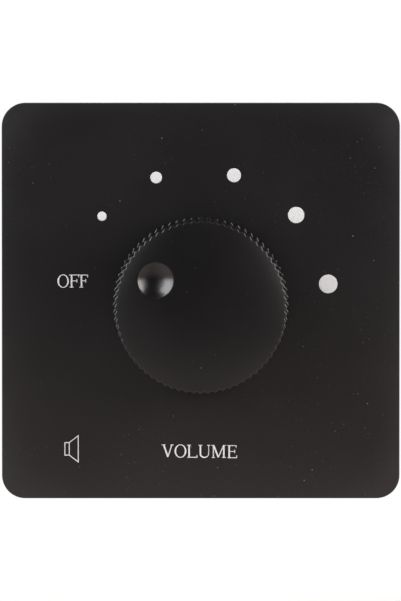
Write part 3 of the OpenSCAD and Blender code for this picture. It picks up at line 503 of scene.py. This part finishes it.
def core_bar(middle, half, start, end, along_x):
    """Pushes the comb from start to end, and closes both ends on the bar's axis."""
    flat = comb(half)
    pole = np.column_stack([np.zeros(len(flat)), flat[:, 1]])
    across = middle + np.stack([pole, flat, flat, pole])[..., 0]
    along = np.array([start, start, end, end])[:, None] + 0 * across
    z = np.stack([flat, flat, flat, flat])[..., 1]
    return (on_wall(along, across, z) if along_x else on_wall(across, along, z)), False, True


print("sheets in the stack:", sheets_in_stack)

# %% Two yokes and three legs
core_mid = (core_low + core_high) / 2
low_y, high_y = core_low[1] + LEG, core_high[1] - LEG
side_x = core_high[0] - LEG / 2
bars = [core_bar(y, LEG / 2, core_low[0], core_high[0], True)
        for y in (core_low[1] + LEG / 2, core_high[1] - LEG / 2)]
bars += [core_bar(x, half, low_y + AIR, high_y, False)
         for x, half in [(-side_x, LEG / 2), (0, CENTRE_LEG / 2), (side_x, LEG / 2)]]
core = piece("core_sheets", bars, "base", crease=20)
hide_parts("transformer_core")

# %% [markdown]
# ## The coil's tape
# The coil is wrapped in polyester film. Tape pulled round a square former never lies quite
# flat: it bellies between the corners, its corners are slightly round, and its end shows as
# a step. The sleeve is a rounded outline carried along the coil; a half sine along the length
# gives the belly, and a smooth step along the outline gives the end of the last turn.

# %% The tape's sleeve
tape_low, tape_high = drawing_box("winding_tape")
TAPE, TAPE_CORNER, BELLY, LAST_TURN = 0.4, 0.85, 0.22, 0.09
TURN_FROM, TURN_TO, TURN_RISE = 0.66, 0.998, 0.004
tape_mid = (tape_low + tape_high) / 2
tape_w, tape_h = tape_high[0] - tape_low[0], tape_high[2] - tape_low[2]
along = np.linspace(0, 1, 13)


def sleeve(inset, belly):
    """Rounded outline, pulled in by inset, swollen by belly along the coil, stepped at the end."""
    flat = rounded_outline(tape_w - 2 * inset, tape_h - 2 * inset, TAPE_CORNER - inset, 6, 24)
    out = flat / np.linalg.norm(flat, axis=1, keepdims=True)
    share = np.linspace(0, 1, len(flat))
    lap = (np.clip((share - TURN_FROM) / TURN_RISE, 0, 1)
           * np.clip((TURN_TO - share) / TURN_RISE, 0, 1))
    slack = 1 - np.abs(out[:, 0] * out[:, 1]) * 2
    bulge = np.sin(np.pi * along)[:, None] * slack * BELLY
    swell = belly * (bulge + lap * LAST_TURN - LAST_TURN * 0.5)
    return flat + out * swell[..., None]


outer, lining = sleeve(0, 1), sleeve(TAPE, 0)
loop = np.concatenate([outer, lining[::-1]])
there_and_back = np.concatenate([along, along[::-1]])[:, None]
tape_y = tape_low[1] + (tape_high[1] - tape_low[1]) * there_and_back
tape_skin = on_wall(loop[..., 0], tape_y, tape_mid[2] + loop[..., 1])
tape = piece("coil_tape", [(tape_skin, True, True)], "base", crease=50)
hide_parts("winding_tape")

# %% [markdown]
# ## Tracks and solder
# Under the green mask of the board run copper tracks: a rail round the edge and one track
# from each terminal to the transformer. They stand a few hundredths proud, so they are
# ribbons again, now bent at 45 degrees. Each soldered joint is a small cone with a hollow
# flank, as molten solder wets pad and pin: a profile turned about the pin.

# %% Tracks on the rear face
board_low, board_high = drawing_box("circuit_board")
WAYS, WAY_PITCH, TAB_Y = 4, 7.62, -22.3
PINS, PIN_PITCH, PIN_REACH = 5, 5.0, 10.8
TRACK, TRACK_HALF, BEND_Y = 0.04, 0.75, -18.5
RAIL_HALF, RAIL_INSET, RAIL_R = 0.5, 1.3, 2.0
rear_z = board_low[2]
way_x = (np.arange(WAYS) - (WAYS - 1) / 2) * WAY_PITCH
pin_x = (np.arange(PINS) - PINS // 2) * PIN_PITCH
pin_low_y, pin_high_y = core_mid[1] - PIN_REACH, core_mid[1] + PIN_REACH


def track(start, end, bend_y):
    """Up from start, across at 45 degrees, and on to end: the slope begins at bend_y."""
    (x0, y0), (x1, y1) = start, end
    return [[x0, y0], [x0, bend_y], [x1, bend_y + abs(x1 - x0)], [x1, y1]]


routes = [track((x0, TAB_Y), (x1, pin_low_y), BEND_Y) for x0, x1 in zip(way_x, pin_x[[0, 1, 3, 4]])]
rail = rounded_outline(*(board_high - board_low)[:2] - 2 * RAIL_INSET, RAIL_R, 5, 2)
tracks = [ribbon(route, TRACK_HALF, rear_z, rear_z - TRACK) for route in routes]
tracks.append(ribbon(rail, RAIL_HALF, rear_z, rear_z - TRACK, True))
copper = piece("board_tracks", tracks, "base")

# %% Solder cones on both faces
CONTACTS, CONTACT_R, FIRST_CONTACT, CONTACT_STEP, COMMON_Y = 6, 8.0, 171.6, 360 / 11, 4.2
contact_turn = np.radians(FIRST_CONTACT - np.arange(CONTACTS) * CONTACT_STEP)
contacts = CONTACT_R * np.column_stack([np.cos(contact_turn), np.sin(contact_turn)])
behind = np.concatenate([contacts, [[0, COMMON_Y]]])
pins = np.stack(np.meshgrid(pin_x, [pin_low_y, pin_high_y]), -1).reshape(-1, 2)
ahead = np.concatenate([pins, np.column_stack([way_x, np.full(WAYS, TAB_Y)])])
cone_r = np.array([1.15, 1.1, 0.75, 0.55, 0.45, 0.0])
cone_h = np.array([0.0, 0.06, 0.2, 0.45, 0.7, 0.74])
cone_turn = circle(14)


def cones(at, face_z, outwards):
    """One hollow-flanked cone at each place, on the face at face_z."""
    x = at[:, 0, None, None] + cone_r[:, None] * np.cos(cone_turn)
    y = at[:, 1, None, None] + cone_r[:, None] * np.sin(cone_turn)
    return list(on_wall(x, y, face_z + outwards * cone_h[:, None]))


joints = [(c, False, True) for c in cones(behind, rear_z, -1) + cones(ahead, board_high[2], 1)]
solder = piece("solder_joints", joints, "base", crease=60)

# %% [markdown]
# ## Shader maths as Python
# A procedural finish is a formula over the surface. Wiring that formula node by node hides
# it, so a small class wraps a socket and lets plain arithmetic add the Math nodes. Two signs
# are borrowed: & takes the lesser of two values, and | the greater. Everything else is made
# by one method: the node's type, its settings, and what goes into its sockets. All patterns
# read Object coordinates, which stay with a piece when it turns.

# %% A socket that can be reckoned with


def operator(operation, swapped=False):
    """A method that adds one Math node for self and other; swapped puts other first."""

    def method(self, other=0.0):
        a, b = (other, self) if swapped else (self, other)
        return self.finish.node("Math", {"operation": operation}, {0: a, 1: b})

    return method


class Signal:
    """A node's output; arithmetic on it adds Math nodes to the same tree."""

    def __init__(self, finish, socket):
        self.finish, self.socket = finish, socket

    def twin(self, output):
        """Another output of the same node."""
        return Signal(self.finish, self.socket.node.outputs[output])

    __add__ = __radd__ = operator("ADD")
    __mul__ = __rmul__ = operator("MULTIPLY")
    __and__ = __rand__ = operator("MINIMUM")
    __or__ = __ror__ = operator("MAXIMUM")
    __sub__, __rsub__ = operator("SUBTRACT"), operator("SUBTRACT", swapped=True)
    __truediv__, __rtruediv__ = operator("DIVIDE"), operator("DIVIDE", swapped=True)
    __pow__, __rpow__ = operator("POWER"), operator("POWER", swapped=True)
    __gt__, __lt__ = operator("GREATER_THAN"), operator("LESS_THAN")
    __abs__ = operator("ABSOLUTE")


# %% One tree, one node method


class Finish:
    """The node tree of a material or a world; node() makes every node in it."""

    def __init__(self, owner):
        owner.use_nodes = True
        self.owner, self.tree = owner, owner.node_tree
        self.tree.nodes.clear()
        self.place = self.node("TexCoord", {}, {}, "Object")

    def node(self, kind, settings, inputs, output=0):
        """One node: settings first, then a value or a link for each named or numbered socket."""
        made = self.tree.nodes.new("ShaderNode" + kind)
        for key, value in settings.items():
            setattr(made, key, value)
        for key, value in inputs.items():
            socket = made.inputs[key]
            if isinstance(value, Signal):
                self.tree.links.new(value.socket, socket)
            else:
                socket.default_value = (*value, 1) if socket.type == "RGBA" else value
        return Signal(self, made.outputs[output]) if len(made.outputs) else None


def new_finish(name):
    """A fresh material to be filled."""
    print("finish", name)
    return Finish(bpy.data.materials.new(name))


# %% [markdown]
# ## Words for finishes
# A few patterns come back in every material: cloudy noise, a smooth step between two values,
# a blend of two colours, a stretched place for brushed metal, and a bump. Sizes are given in
# millimetres, as one would say them at the bench.

# %% Patterns


def noise(f, size, detail=2.0, rough=0.5, place=None):
    """Cloudy noise whose blobs are about size millimetres across, from 0 to 1."""
    return f.node("TexNoise", {}, {"Vector": place or f.place, "Scale": 1000.0 / size,
                                   "Detail": detail, "Roughness": rough})


def step(f, value, low, high, to_low=0.0, to_high=1.0):
    """Smooth change from to_low to to_high while value goes from low to high."""
    return f.node("MapRange", {"interpolation_type": "SMOOTHSTEP"},
                  {0: value, 1: low, 2: high, 3: to_low, 4: to_high})


def blend(f, share, a, b):
    """Colour a where share is 0, colour b where it is 1."""
    return f.node("Mix", {"data_type": "RGBA"}, {0: share, 6: a, 7: b}, 2)


def shade(tone, factor):
    """The colour made darker or lighter: each part times factor."""
    return tuple(c * factor for c in tone)


def stretched(f, x, y, z):
    """The place, stretched: a large factor along an axis makes the pattern fine along it."""
    return f.node("Mapping", {}, {"Vector": f.place, "Scale": (x, y, z)})


# %% Places, bumps and the shader itself


def axes(f):
    """The place's three numbers in millimetres: right, into the wall, up."""
    split = f.node("SeparateXYZ", {}, {0: f.place})
    return [split.twin(n) * 1000.0 for n in range(3)]


def bump(f, height, depth):
    """A bump whose full height is depth millimetres."""
    return f.node("Bump", {}, {"Strength": 1.0, "Distance": depth * MM, "Height": height})


def surface(f, **inputs):
    """The Principled shader that ends a finish; names use _ for the blanks in socket names."""
    named = {key.replace("_", " "): value for key, value in inputs.items()}
    f.node("OutputMaterial", {}, {"Surface": f.node("BsdfPrincipled", {}, named)})
    return f.owner


# %% [markdown]
# ## Satin black moulding
# Cover and knob are the same black plastic from a finely etched mould: nearly black, with a
# soft sheen. Real ones are never clean. A thin veil of handling makes the sheen uneven, and
# single specks of dust sit on the front, in clouds and rather more of them to the lower right.
# On the cover, painted light from below makes the colour a little lighter and warmer towards
# the bottom, as if a pale table bounced light up onto it, and the corners are made a little
# lighter. The specks are the centres of a flat cell pattern. Each cell draws a lot, and a
# power of the lot says how strong its speck is, so that a few stand out and most can hardly
# be seen.

# %% Specks of dust
# The first colour is a pale grey: the colour of the dust specks, and what the corners are lightened
# towards.
# The second colour is painted light from below: the warm tone the cover is blended to towards the
# bottom.
PALE_GREY, UPLIGHT_TONE = (0.42, 0.41, 0.42), (0.205, 0.155, 0.130)
SPECK_CELL, SPECK_CORE, SPECK_EDGE = 1.1, 0.05, 0.14
SPECK_FAINT, SPECK_POWER = 0.019, -0.6
CLOUD, UPPER_LEFT, LOWER_RIGHT, THINNEST = 9.0, -35.0, 25.0, 0.45


def dust_specks(f, x, y, z, face_z):
    """Share of dust in front of face_z: a round spot in each cell times its strength.

    The strength is a small share of (1 - lot) to a negative power, at most 1, and it drifts
    with a cloud and from the upper left to the lower right.
    """
    flat = f.node("CombineXYZ", {}, {0: x, 1: z})
    cells = f.node("TexVoronoi", {"voronoi_dimensions": "2D"},
                   {"Vector": flat, "Scale": 1 / SPECK_CELL})
    lot = f.node("SeparateColor", {}, {0: cells.twin("Color")}, "Blue")
    strong = ((1.0 - lot) ** SPECK_POWER * SPECK_FAINT & 1.0) * (0.0 - y > face_z)
    cloud = step(f, noise(f, CLOUD, 2.0), 0.35, 0.6, 0.25, 1.0)
    drift = cloud * step(f, x - z, UPPER_LEFT, LOWER_RIGHT, THINNEST, 1.0)
    return step(f, cells, SPECK_CORE, SPECK_EDGE, 1.0, 0.0) * strong * drift


for odds in (0.5, 0.99):
    print("a lot of", odds, "gives a speck of", round(SPECK_FAINT * (1 - odds) ** SPECK_POWER, 3))

# %% Black moulding
# Painted light from below: from 14 mm above the shaft to 24 mm below it the colour turns lighter
# and warmer.
UPLIGHT_FROM, UPLIGHT_TO = -14.0, 24.0
# The corners are blended towards the pale grey by up to the third number, which makes them a little
# lighter.
CORNER_FROM, CORNER_TO, CORNER_LIGHTEN = 40.0, 48.0, 0.018
DISH_SOFT = 0.3


def black_moulding(name, tone, gloss, dish_gloss, specks, uplight_share, face_z):
    """Satin black plastic with specks of dust on what lies in front of face_z.

    gloss is the roughness, dish_gloss the one in the finger dish; specks is the share of dust in
    the specks, and film the share of painted light from below: the colour grows lighter and
    warmer downwards. The corners are made a little lighter where x and z, each to the fourth
    power, add up to much.
    """
    f = new_finish(name)
    veil = noise(f, 22.0, 3.0, 0.55)
    etch = noise(f, 0.14, 1.0)
    x, y, z = axes(f)
    speck = dust_specks(f, x, y, z, face_z)
    far_out = x * x * x * x + z * z * z * z
    # The corners are made a little lighter.
    corners = step(f, far_out, CORNER_FROM**4, CORNER_TO**4, 0.0, CORNER_LIGHTEN)
    # Painted light from below: a lighter, warmer colour blended in towards the bottom.
    painted_uplight = step(f, 0.0 - z, UPLIGHT_FROM, UPLIGHT_TO, 0.0, uplight_share)
    colour = blend(f, painted_uplight, blend(f, veil, tone, shade(tone, 1.3)), UPLIGHT_TONE)
    # Dust specks and the lighter corners both blend towards the pale grey.
    colour = blend(f, speck * specks + corners, colour, PALE_GREY)
    off_x, off_z = x - dish_mid[0], z - dish_mid[1]
    base = step(f, off_x * off_x + off_z * off_z, (DISH_R - DISH_SOFT) ** 2, DISH_R**2,
                dish_gloss, gloss)
    rough = base + step(f, veil, 0.25, 0.75, 0.01, 0.05) + speck * 0.2
    return surface(f, Base_Color=colour, Roughness=rough, Normal=bump(f, etch, 0.004),
                   Specular_IOR_Level=0.9)


# The cover takes 0.044 of painted light from below; the knob takes none.
cover.data.materials.append(black_moulding(
    "black_cover", (0.0026, 0.0019, 0.0023), 0.33, 0.33, 1.0, 0.044, front_z - CROWN))
knob.data.materials.append(black_moulding(
    "black_knob", (0.0018, 0.0012, 0.0015), 0.27, 0.28, 0.35, 0.0, top_z - DOME))

# %% [markdown]
# ## Ink
# The print is an off-white ink, a little thin in places where the screen's mesh left less of
# it, so its tone wavers by a few hundredths.

# %% Ink


def ink(name, tone):
    """Matt ink: a fine noise thins it to 93 parts in a hundred of its tone."""
    f = new_finish(name)
    thin = noise(f, 0.35, 2.0)
    colour = blend(f, step(f, thin, 0.3, 0.7), shade(tone, 0.93), tone)
    return surface(f, Base_Color=colour, Roughness=0.55, Normal=bump(f, noise(f, 0.2), 0.006))


marks.data.materials.append(ink("ink_marks", (0.705, 0.695, 0.70)))
for text in (off_word, volume_word):
    text.data.materials.append(ink("ink_" + text.name, (0.74, 0.725, 0.74)))

# %% [markdown]
# ## Metals
# Sheet parts are zinc plated: bright, with a faint blue and yellow bloom and a fine grain.
# Turned parts carry rings round their axis, springs are plain polished strip, and the
# bushing is a die casting with a dull skin. One function makes all of them: it takes a tint
# and a bloom, the grain's size, and how far the grain is drawn out.

# %% Metals


def metal(name, tint, bloom, rough, grain=0.12, draw=(1.0, 1.0, 1.0), depth=0.004):
    """Bare metal: clouds blend tint and bloom, and a drawn-out grain darkens and roughens it."""
    f = new_finish(name)
    cloud = noise(f, 9.0, 3.0, 0.6)
    scratch = noise(f, grain, 2.0, 0.6, stretched(f, *draw))
    colour = blend(f, step(f, cloud, 0.3, 0.75), tint, bloom)
    colour = blend(f, step(f, scratch, 0.55, 0.8) * 0.35, colour, shade(tint, 0.55))
    sheen = step(f, scratch, 0.2, 0.8, rough - 0.07, rough + 0.1) + cloud * 0.06
    return surface(f, Base_Color=colour, Metallic=1.0, Roughness=sheen,
                   Normal=bump(f, scratch, depth))


ROLLED, TURNED, STRIP = (0.12, 1, 1), (0.15, 1, 0.15), (0.1, 1, 1)
zinc_sheet = metal("zinc_plated_sheet", (0.33, 0.335, 0.345), (0.37, 0.35, 0.29), 0.40, 0.3, ROLLED)
zinc_screw = metal("zinc_plated_screw", (0.40, 0.405, 0.42), (0.45, 0.42, 0.33), 0.32, 0.1)
nickel_brass = metal("turned_brass", (0.66, 0.49, 0.22), (0.58, 0.41, 0.17), 0.28, 0.16, TURNED)
die_cast = metal("die_casting", (0.46, 0.46, 0.47), (0.52, 0.51, 0.49), 0.48, 0.25, depth=0.01)
spring_strip = metal("spring_strip", (0.60, 0.61, 0.63), (0.52, 0.53, 0.56), 0.22, 0.2, STRIP)
contact_tin = metal("contact_metal", (0.76, 0.66, 0.42), (0.68, 0.60, 0.40), 0.25, 0.12)
solder_tin = metal("solder_tin", (0.50, 0.505, 0.515), (0.42, 0.425, 0.44), 0.26, 0.5, depth=0.006)
solder.data.materials.append(solder_tin)

# %% [markdown]
# ## The core's varnish
# The stack of sheets is dipped in varnish and baked: dark blue-grey scale on the iron, a
# brownish film that pools in places, rust here and there, and dark gaps between the sheets.

# %% Varnished sheets
STACK_Y = 26.2


def varnished_sheets(name):
    """Dark iron: a zig-zag over the stack's depth finds the gaps, noises place film and rust."""
    f = new_finish(name)
    into = axes(f)[1]
    sheet = f.node("Math", {"operation": "PINGPONG"}, {0: into - STACK_Y, 1: SHEET / 2})
    gap = step(f, sheet, 0.02, 0.07, 1.0, 0.0)
    pool = noise(f, 6.0, 4.0, 0.6)
    colour = blend(f, step(f, pool, 0.35, 0.7), (0.085, 0.09, 0.098), (0.13, 0.085, 0.05))
    colour = blend(f, gap * 0.7, colour, (0.02, 0.018, 0.016))
    rust = step(f, noise(f, 1.6, 4.0, 0.7), 0.66, 0.78)
    colour = blend(f, rust * 0.5, colour, (0.16, 0.06, 0.025))
    return surface(f, Base_Color=colour, Metallic=0.55,
                   Roughness=step(f, pool, 0.3, 0.7, 0.3, 0.5),
                   Normal=bump(f, noise(f, 0.4, 3.0), 0.01))


core.data.materials.append(varnished_sheets("varnished_sheets"))

# %% [markdown]
# ## Film tape
# Polyester tape is a clear yellow film over adhesive: glossy, a shade deeper where it lies on
# copper, with creases that run round the coil.

# %% Tape


def film_tape(name):
    """Yellow film: a noise drawn out round the coil gives turns and creases, clouds the depth."""
    f = new_finish(name)
    turns = noise(f, 2.2, 3.0, 0.6, stretched(f, 0.18, 0.18, 1.0))
    cloud = noise(f, 5.0, 2.0)
    colour = blend(f, step(f, turns, 0.3, 0.7), (0.60, 0.36, 0.025), (0.76, 0.49, 0.05))
    colour = blend(f, step(f, cloud, 0.55, 0.8) * 0.35, colour, (0.50, 0.25, 0.02))
    return surface(f, Base_Color=colour, Roughness=step(f, cloud, 0.3, 0.7, 0.22, 0.34),
                   Coat_Weight=0.3, Normal=bump(f, turns, 0.05))


tape.data.materials.append(film_tape("film_tape"))

# %% [markdown]
# ## The board
# Glass-fibre board under green solder mask: the weave shows as a fine grid in the gloss, the
# mask is lighter over copper, and at the cut edges the bare straw-coloured laminate shows.
# Which part is edge follows from the place alone.

# %% Solder mask
WEAVE, CUT = 2.4, 0.03


def solder_mask(name, tone, light, edge):
    """Green mask: two crossed waves make the cloth, and places at the board's limits are edge."""
    f = new_finish(name)
    x, _, z = axes(f)
    threads = {"Vector": f.place, "Scale": 1000.0 / WEAVE, "Distortion": 0.6, "Detail": 1.0}
    warp, weft = (f.node("TexWave", {"wave_type": "BANDS", "bands_direction": way}, threads)
                  for way in "XZ")
    cloud = noise(f, 7.0, 3.0)
    cloth = (warp + weft) * 0.5
    colour = blend(f, cloud * 0.6 + cloth * 0.25, tone, light)
    cut_off = (abs(x) > board_high[0] - CUT) | (abs(z) > board_high[1] - CUT)
    colour = blend(f, cut_off, colour, edge)
    rough = step(f, cloud, 0.3, 0.7, 0.26, 0.36) + cut_off * 0.3
    return surface(f, Base_Color=colour, Roughness=rough, Normal=bump(f, cloth, 0.006))


board_mask = solder_mask("solder_mask", (0.010, 0.085, 0.032), (0.018, 0.125, 0.046),
                         (0.42, 0.36, 0.17))
copper.data.materials.append(solder_mask(
    "mask_over_copper", (0.028, 0.19, 0.065), (0.04, 0.23, 0.08), (0.04, 0.2, 0.08)))

# %% [markdown]
# ## Mouldings, laminate and wire
# The other plastics are matt mouldings with flow marks and a fine grain. The wafer is paper
# laminate, brown with lighter fibres. The winding is enamelled wire laid turn by turn, with
# painted shade between the turns and a painted highlight along each turn's crest.

# %% Plain mouldings and the rest


def moulding(name, tone, rough, flow=0.25, grain=0.2):
    """Matt plastic: drawn-out clouds darken it by the share flow, a grain varies its sheen."""
    f = new_finish(name)
    marks_of_flow = noise(f, 8.0, 4.0, 0.6, stretched(f, 1, 0.4, 1))
    skin = noise(f, grain, 2.0)
    colour = blend(f, step(f, marks_of_flow, 0.3, 0.7), shade(tone, 1 - flow), tone)
    return surface(f, Base_Color=colour,
                   Roughness=step(f, skin, 0.2, 0.8, rough - 0.05, rough + 0.08),
                   Normal=bump(f, skin, 0.006))


def wound_wire(name, pitch):
    """Enamelled wire: a zig-zag once per turn for the bump, and as painted shade and highlight."""
    f = new_finish(name)
    up = axes(f)[2]
    turn = f.node("Math", {"operation": "PINGPONG"}, {0: up, 1: pitch / 2}) / (pitch / 2)
    # Painted shade and highlight: dark where the turns meet, light along each turn's crest.
    colour = blend(f, turn, (0.16, 0.045, 0.012), (0.52, 0.19, 0.06))
    return surface(f, Base_Color=colour, Metallic=0.8,
                   Roughness=step(f, noise(f, 1.0), 0.3, 0.7, 0.25, 0.4),
                   Normal=bump(f, turn, 0.1))


def paper_laminate(name):
    """Brown laminate: a drawn-out noise shows the paper's fibres."""
    f = new_finish(name)
    fibre = noise(f, 0.5, 4.0, 0.7, stretched(f, 0.25, 1, 1))
    colour = blend(f, step(f, fibre, 0.3, 0.75), (0.13, 0.05, 0.02), (0.26, 0.12, 0.05))
    return surface(f, Base_Color=colour, Roughness=step(f, fibre, 0.2, 0.8, 0.42, 0.58),
                   Normal=bump(f, fibre, 0.008))


green_moulding = moulding("green_moulding", (0.030, 0.205, 0.092), 0.42)
grey_moulding = moulding("grey_moulding", (0.046, 0.048, 0.054), 0.46)
ivory_moulding = moulding("ivory_moulding", (0.75, 0.71, 0.61), 0.42, 0.12)
laminate, wire = paper_laminate("paper_laminate"), wound_wire("wound_wire", 0.4)

# %% [markdown]
# ## Dressing the solids
# A solid whose shape is already right keeps it and takes a finish in its material slot.

# %% Finishes for the solids
terminal_screws, terminal_cages = (
    [f"terminal_{kind}_{n + 1}" for n in range(WAYS)] for kind in ("screw", "cage"))
dress = {
    zinc_sheet: ["carrier_frame", "transformer_clamp", "panel_washer", "lock_washer", "stop_ring"],
    zinc_screw: ["frame_screws", "board_screws", "switch_screws", "switch_shaft"] + terminal_screws,
    nickel_brass: ["panel_nut", "frame_nut", "standoffs"] + terminal_cages,
    die_cast: ["switch_bushing"],
    spring_strip: ["knob_clip", "shaft_clip", "detent_spring"],
    contact_tin: ["wiper", "step_contacts", "common_contact", "transformer_pins", "contact_bars"],
    board_mask: ["circuit_board"],
    green_moulding: ["terminal_block"],
    grey_moulding: ["switch_housing", "bobbin"],
    ivory_moulding: ["detent_wheel", "contact_rotor"],
    laminate: ["contact_wafer"],
    wire: ["winding"],
}
for finish, names in dress.items():
    for name in names:
        nodes[name].material_slots[0].material = finish
print("solids dressed:", sum(map(len, dress.values())))

# %% [markdown]
# ## Floor and background
# The portrait has a plain white ground. The floor is a pale round sheet a little below the
# part. It keeps the soft shadow, a share of its own light lifts it to white for the camera,
# and towards its rim it thins out into the world. It is clear from below, and mostly clear in
# reflections. The world is white for the camera all round. For reflections it is white behind
# and dark in front, as a studio is behind the camera, with a pale warm table below: a black
# plate is only as black as what it mirrors.

# %% Floor
FLOOR_Z, FLOOR_R, FLOOR_SIDES = -0.068, 0.45, 64
floor_turn = circle(FLOOR_SIDES)
floor_r = np.array([0.0, FLOOR_R])[:, None]
ring = np.broadcast_arrays(floor_r * np.cos(floor_turn), floor_r * np.sin(floor_turn), FLOOR_Z)
ring = np.stack(ring, -1).reshape(-1, 3)
floor_mesh = bpy.data.meshes.new("floor")
floor_mesh.from_pydata(ring, [], grid_faces(2, FLOOR_SIDES, False, True)[:, ::-1])
floor = bpy.data.objects.new("floor", floor_mesh)
bpy.context.scene.collection.objects.link(floor)
print("floor", 2 * FLOOR_R, "m across, at", FLOOR_Z)

# %% The floor's sheet
FLOOR_TONE, CAMERA_GLOW, MIRROR_GLOW, MIRROR_CLEAR = (0.40, 0.397, 0.397), 0.52, 0.02, 0.8
THIN_FROM, THIN_TO = 0.05, 0.27
WHITE = (1, 1, 1)
f = new_finish("floor_sheet")
far = f.node("VectorMath", {"operation": "LENGTH"}, {0: f.place}, "Value")
ray = f.node("LightPath", {}, {}, "Is Camera Ray")
glossy = ray.twin("Is Glossy Ray")
sheet = f.node("BsdfDiffuse", {}, {"Color": FLOOR_TONE})
strength = ray * CAMERA_GLOW + glossy * MIRROR_GLOW
glow = f.node("Emission", {}, {"Color": WHITE, "Strength": strength})
lit = f.node("AddShader", {}, {0: sheet, 1: glow})
clear = f.node("BsdfTransparent", {}, {})
underside = f.node("NewGeometry", {}, {}, "Backfacing")
gone = step(f, far, THIN_FROM, THIN_TO) | underside | glossy * MIRROR_CLEAR
f.node("OutputMaterial", {}, {"Surface": f.node("MixShader", {}, {0: gone, 1: lit, 2: clear})})
floor.data.materials.append(f.owner)

# %% World
DIM, AMBIENT, BACK, FRONT_END, BACK_START = 0.04, 0.5, 0.8, -0.15, 0.35
TABLE_LOW, HORIZON, TABLE_RISE, TABLE_SIDES = -0.46, 0.02, 0.31, 0.42
TABLE_TINT = (1.12, 0.93, 0.86)
studio = bpy.data.worlds.new("studio")
bpy.context.scene.world = studio
w = Finish(studio)
across = w.node("SeparateXYZ", {}, {0: w.place.twin("Generated")})
into, up = across.twin("Y"), across.twin("Z")
ray = w.node("LightPath", {}, {}, "Is Camera Ray")
mirrored = ray.twin("Is Glossy Ray") | ray.twin("Is Transmission Ray")
below = step(w, up, TABLE_LOW, HORIZON, 1.0, 0.0)
table = ((HORIZON - up) | 0.0) * TABLE_RISE + below * abs(across) * TABLE_SIDES
in_mirror = DIM + table + step(w, into, FRONT_END, BACK_START, 0.0, BACK)
plain = AMBIENT + mirrored * (in_mirror - AMBIENT)
tint = blend(w, mirrored * below, WHITE, TABLE_TINT)
sky = w.node("Background", {}, {"Color": tint, "Strength": plain + ray * (1.0 - plain)})
w.node("OutputWorld", {}, {"Surface": sky})
print("world of", len(studio.node_tree.nodes), "nodes")

# %% [markdown]
# ## Light
# Two soft boxes stand well to the sides, a little above the part, with a wide dark gap between
# them. So far round they hardly show in the flat front, but the dish mirrors both, turned
# over, in its lower half, and every rounded rib picks up a spark. The left pair is a trace
# cool, the right one warm, and the left box is larger. Two small weak fills nearer the front
# soften the step from box to gap. Behind, two more let the rear be seen.

# %% Soft boxes
LAMP_DISTANCE = 1.2


def soft_box(name, azimuth, height, w, h, radiance, colour=WHITE):
    """An area lamp that faces the part; azimuth from straight ahead, radiance in units of white."""
    a, e = math.radians(azimuth), math.radians(height)
    ahead_of = Vector((math.sin(a) * math.cos(e), -math.cos(a) * math.cos(e), math.sin(e)))
    place = LAMP_DISTANCE * ahead_of
    lamp = bpy.data.lights.new(name, "AREA")
    lamp.shape, lamp.size, lamp.size_y = "RECTANGLE", w, h
    lamp.energy, lamp.color = radiance * math.pi * w * h, colour
    made = bpy.data.objects.new(name, lamp)
    bpy.context.scene.collection.objects.link(made)
    made.location, made.visible_camera = place, False
    made.rotation_euler = (-place).to_track_quat("-Z", "Y").to_euler()
    print(name, np.round(place, 2), round(lamp.energy, 2), "W")


COOL, WARM = (0.985, 0.975, 1.01), (1.03, 0.975, 0.94)
soft_box("box_left", -68.9, 25.3, 0.85, 1.12, 5.5, COOL)
soft_box("fill_left", -38.9, 20.3, 0.36, 0.70, 0.8, COOL)
soft_box("box_right", 68.1, 23.3, 0.66, 0.94, 6.1, WARM)
soft_box("fill_right", 44.1, 16.3, 0.46, 0.62, 2.2, WARM)
soft_box("rear_left", -140, 35, 0.80, 0.80, 1.7)
soft_box("rear_right", 145, 30, 0.80, 0.80, 1.7)

# %% [markdown]
# ## Camera
# The picture was taken from straight ahead, a little above, with a long lens: the plate's
# sides stay parallel, and the knob's face sits slightly low on its ribs. The frame is 601
# picture elements high, of which 4.63 make a millimetre on the plate.

# %% The long lens
PX_PER_MM, FRAME_H, SENSOR = 4.629, 601, 36.0
DISTANCE, ABOVE = 1.6, math.radians(2.4)
AIM_X, AIM_Y = -0.055, 0.90
aim = on_wall(AIM_X, AIM_Y, front_z)
lens = bpy.data.cameras.new("long_lens")
lens.sensor_width = SENSOR
lens.lens = SENSOR * DISTANCE / (FRAME_H / PX_PER_MM * MM)
camera = bpy.data.objects.new("camera", lens)
bpy.context.scene.collection.objects.link(camera)
camera.location = aim + DISTANCE * np.array([0, -math.cos(ABOVE), math.sin(ABOVE)])
camera.rotation_euler = (math.pi / 2 - ABOVE, 0, 0)
bpy.context.scene.camera = camera
bpy.context.scene.view_settings.view_transform = "Standard"
print("lens", round(lens.lens, 1), "mm")
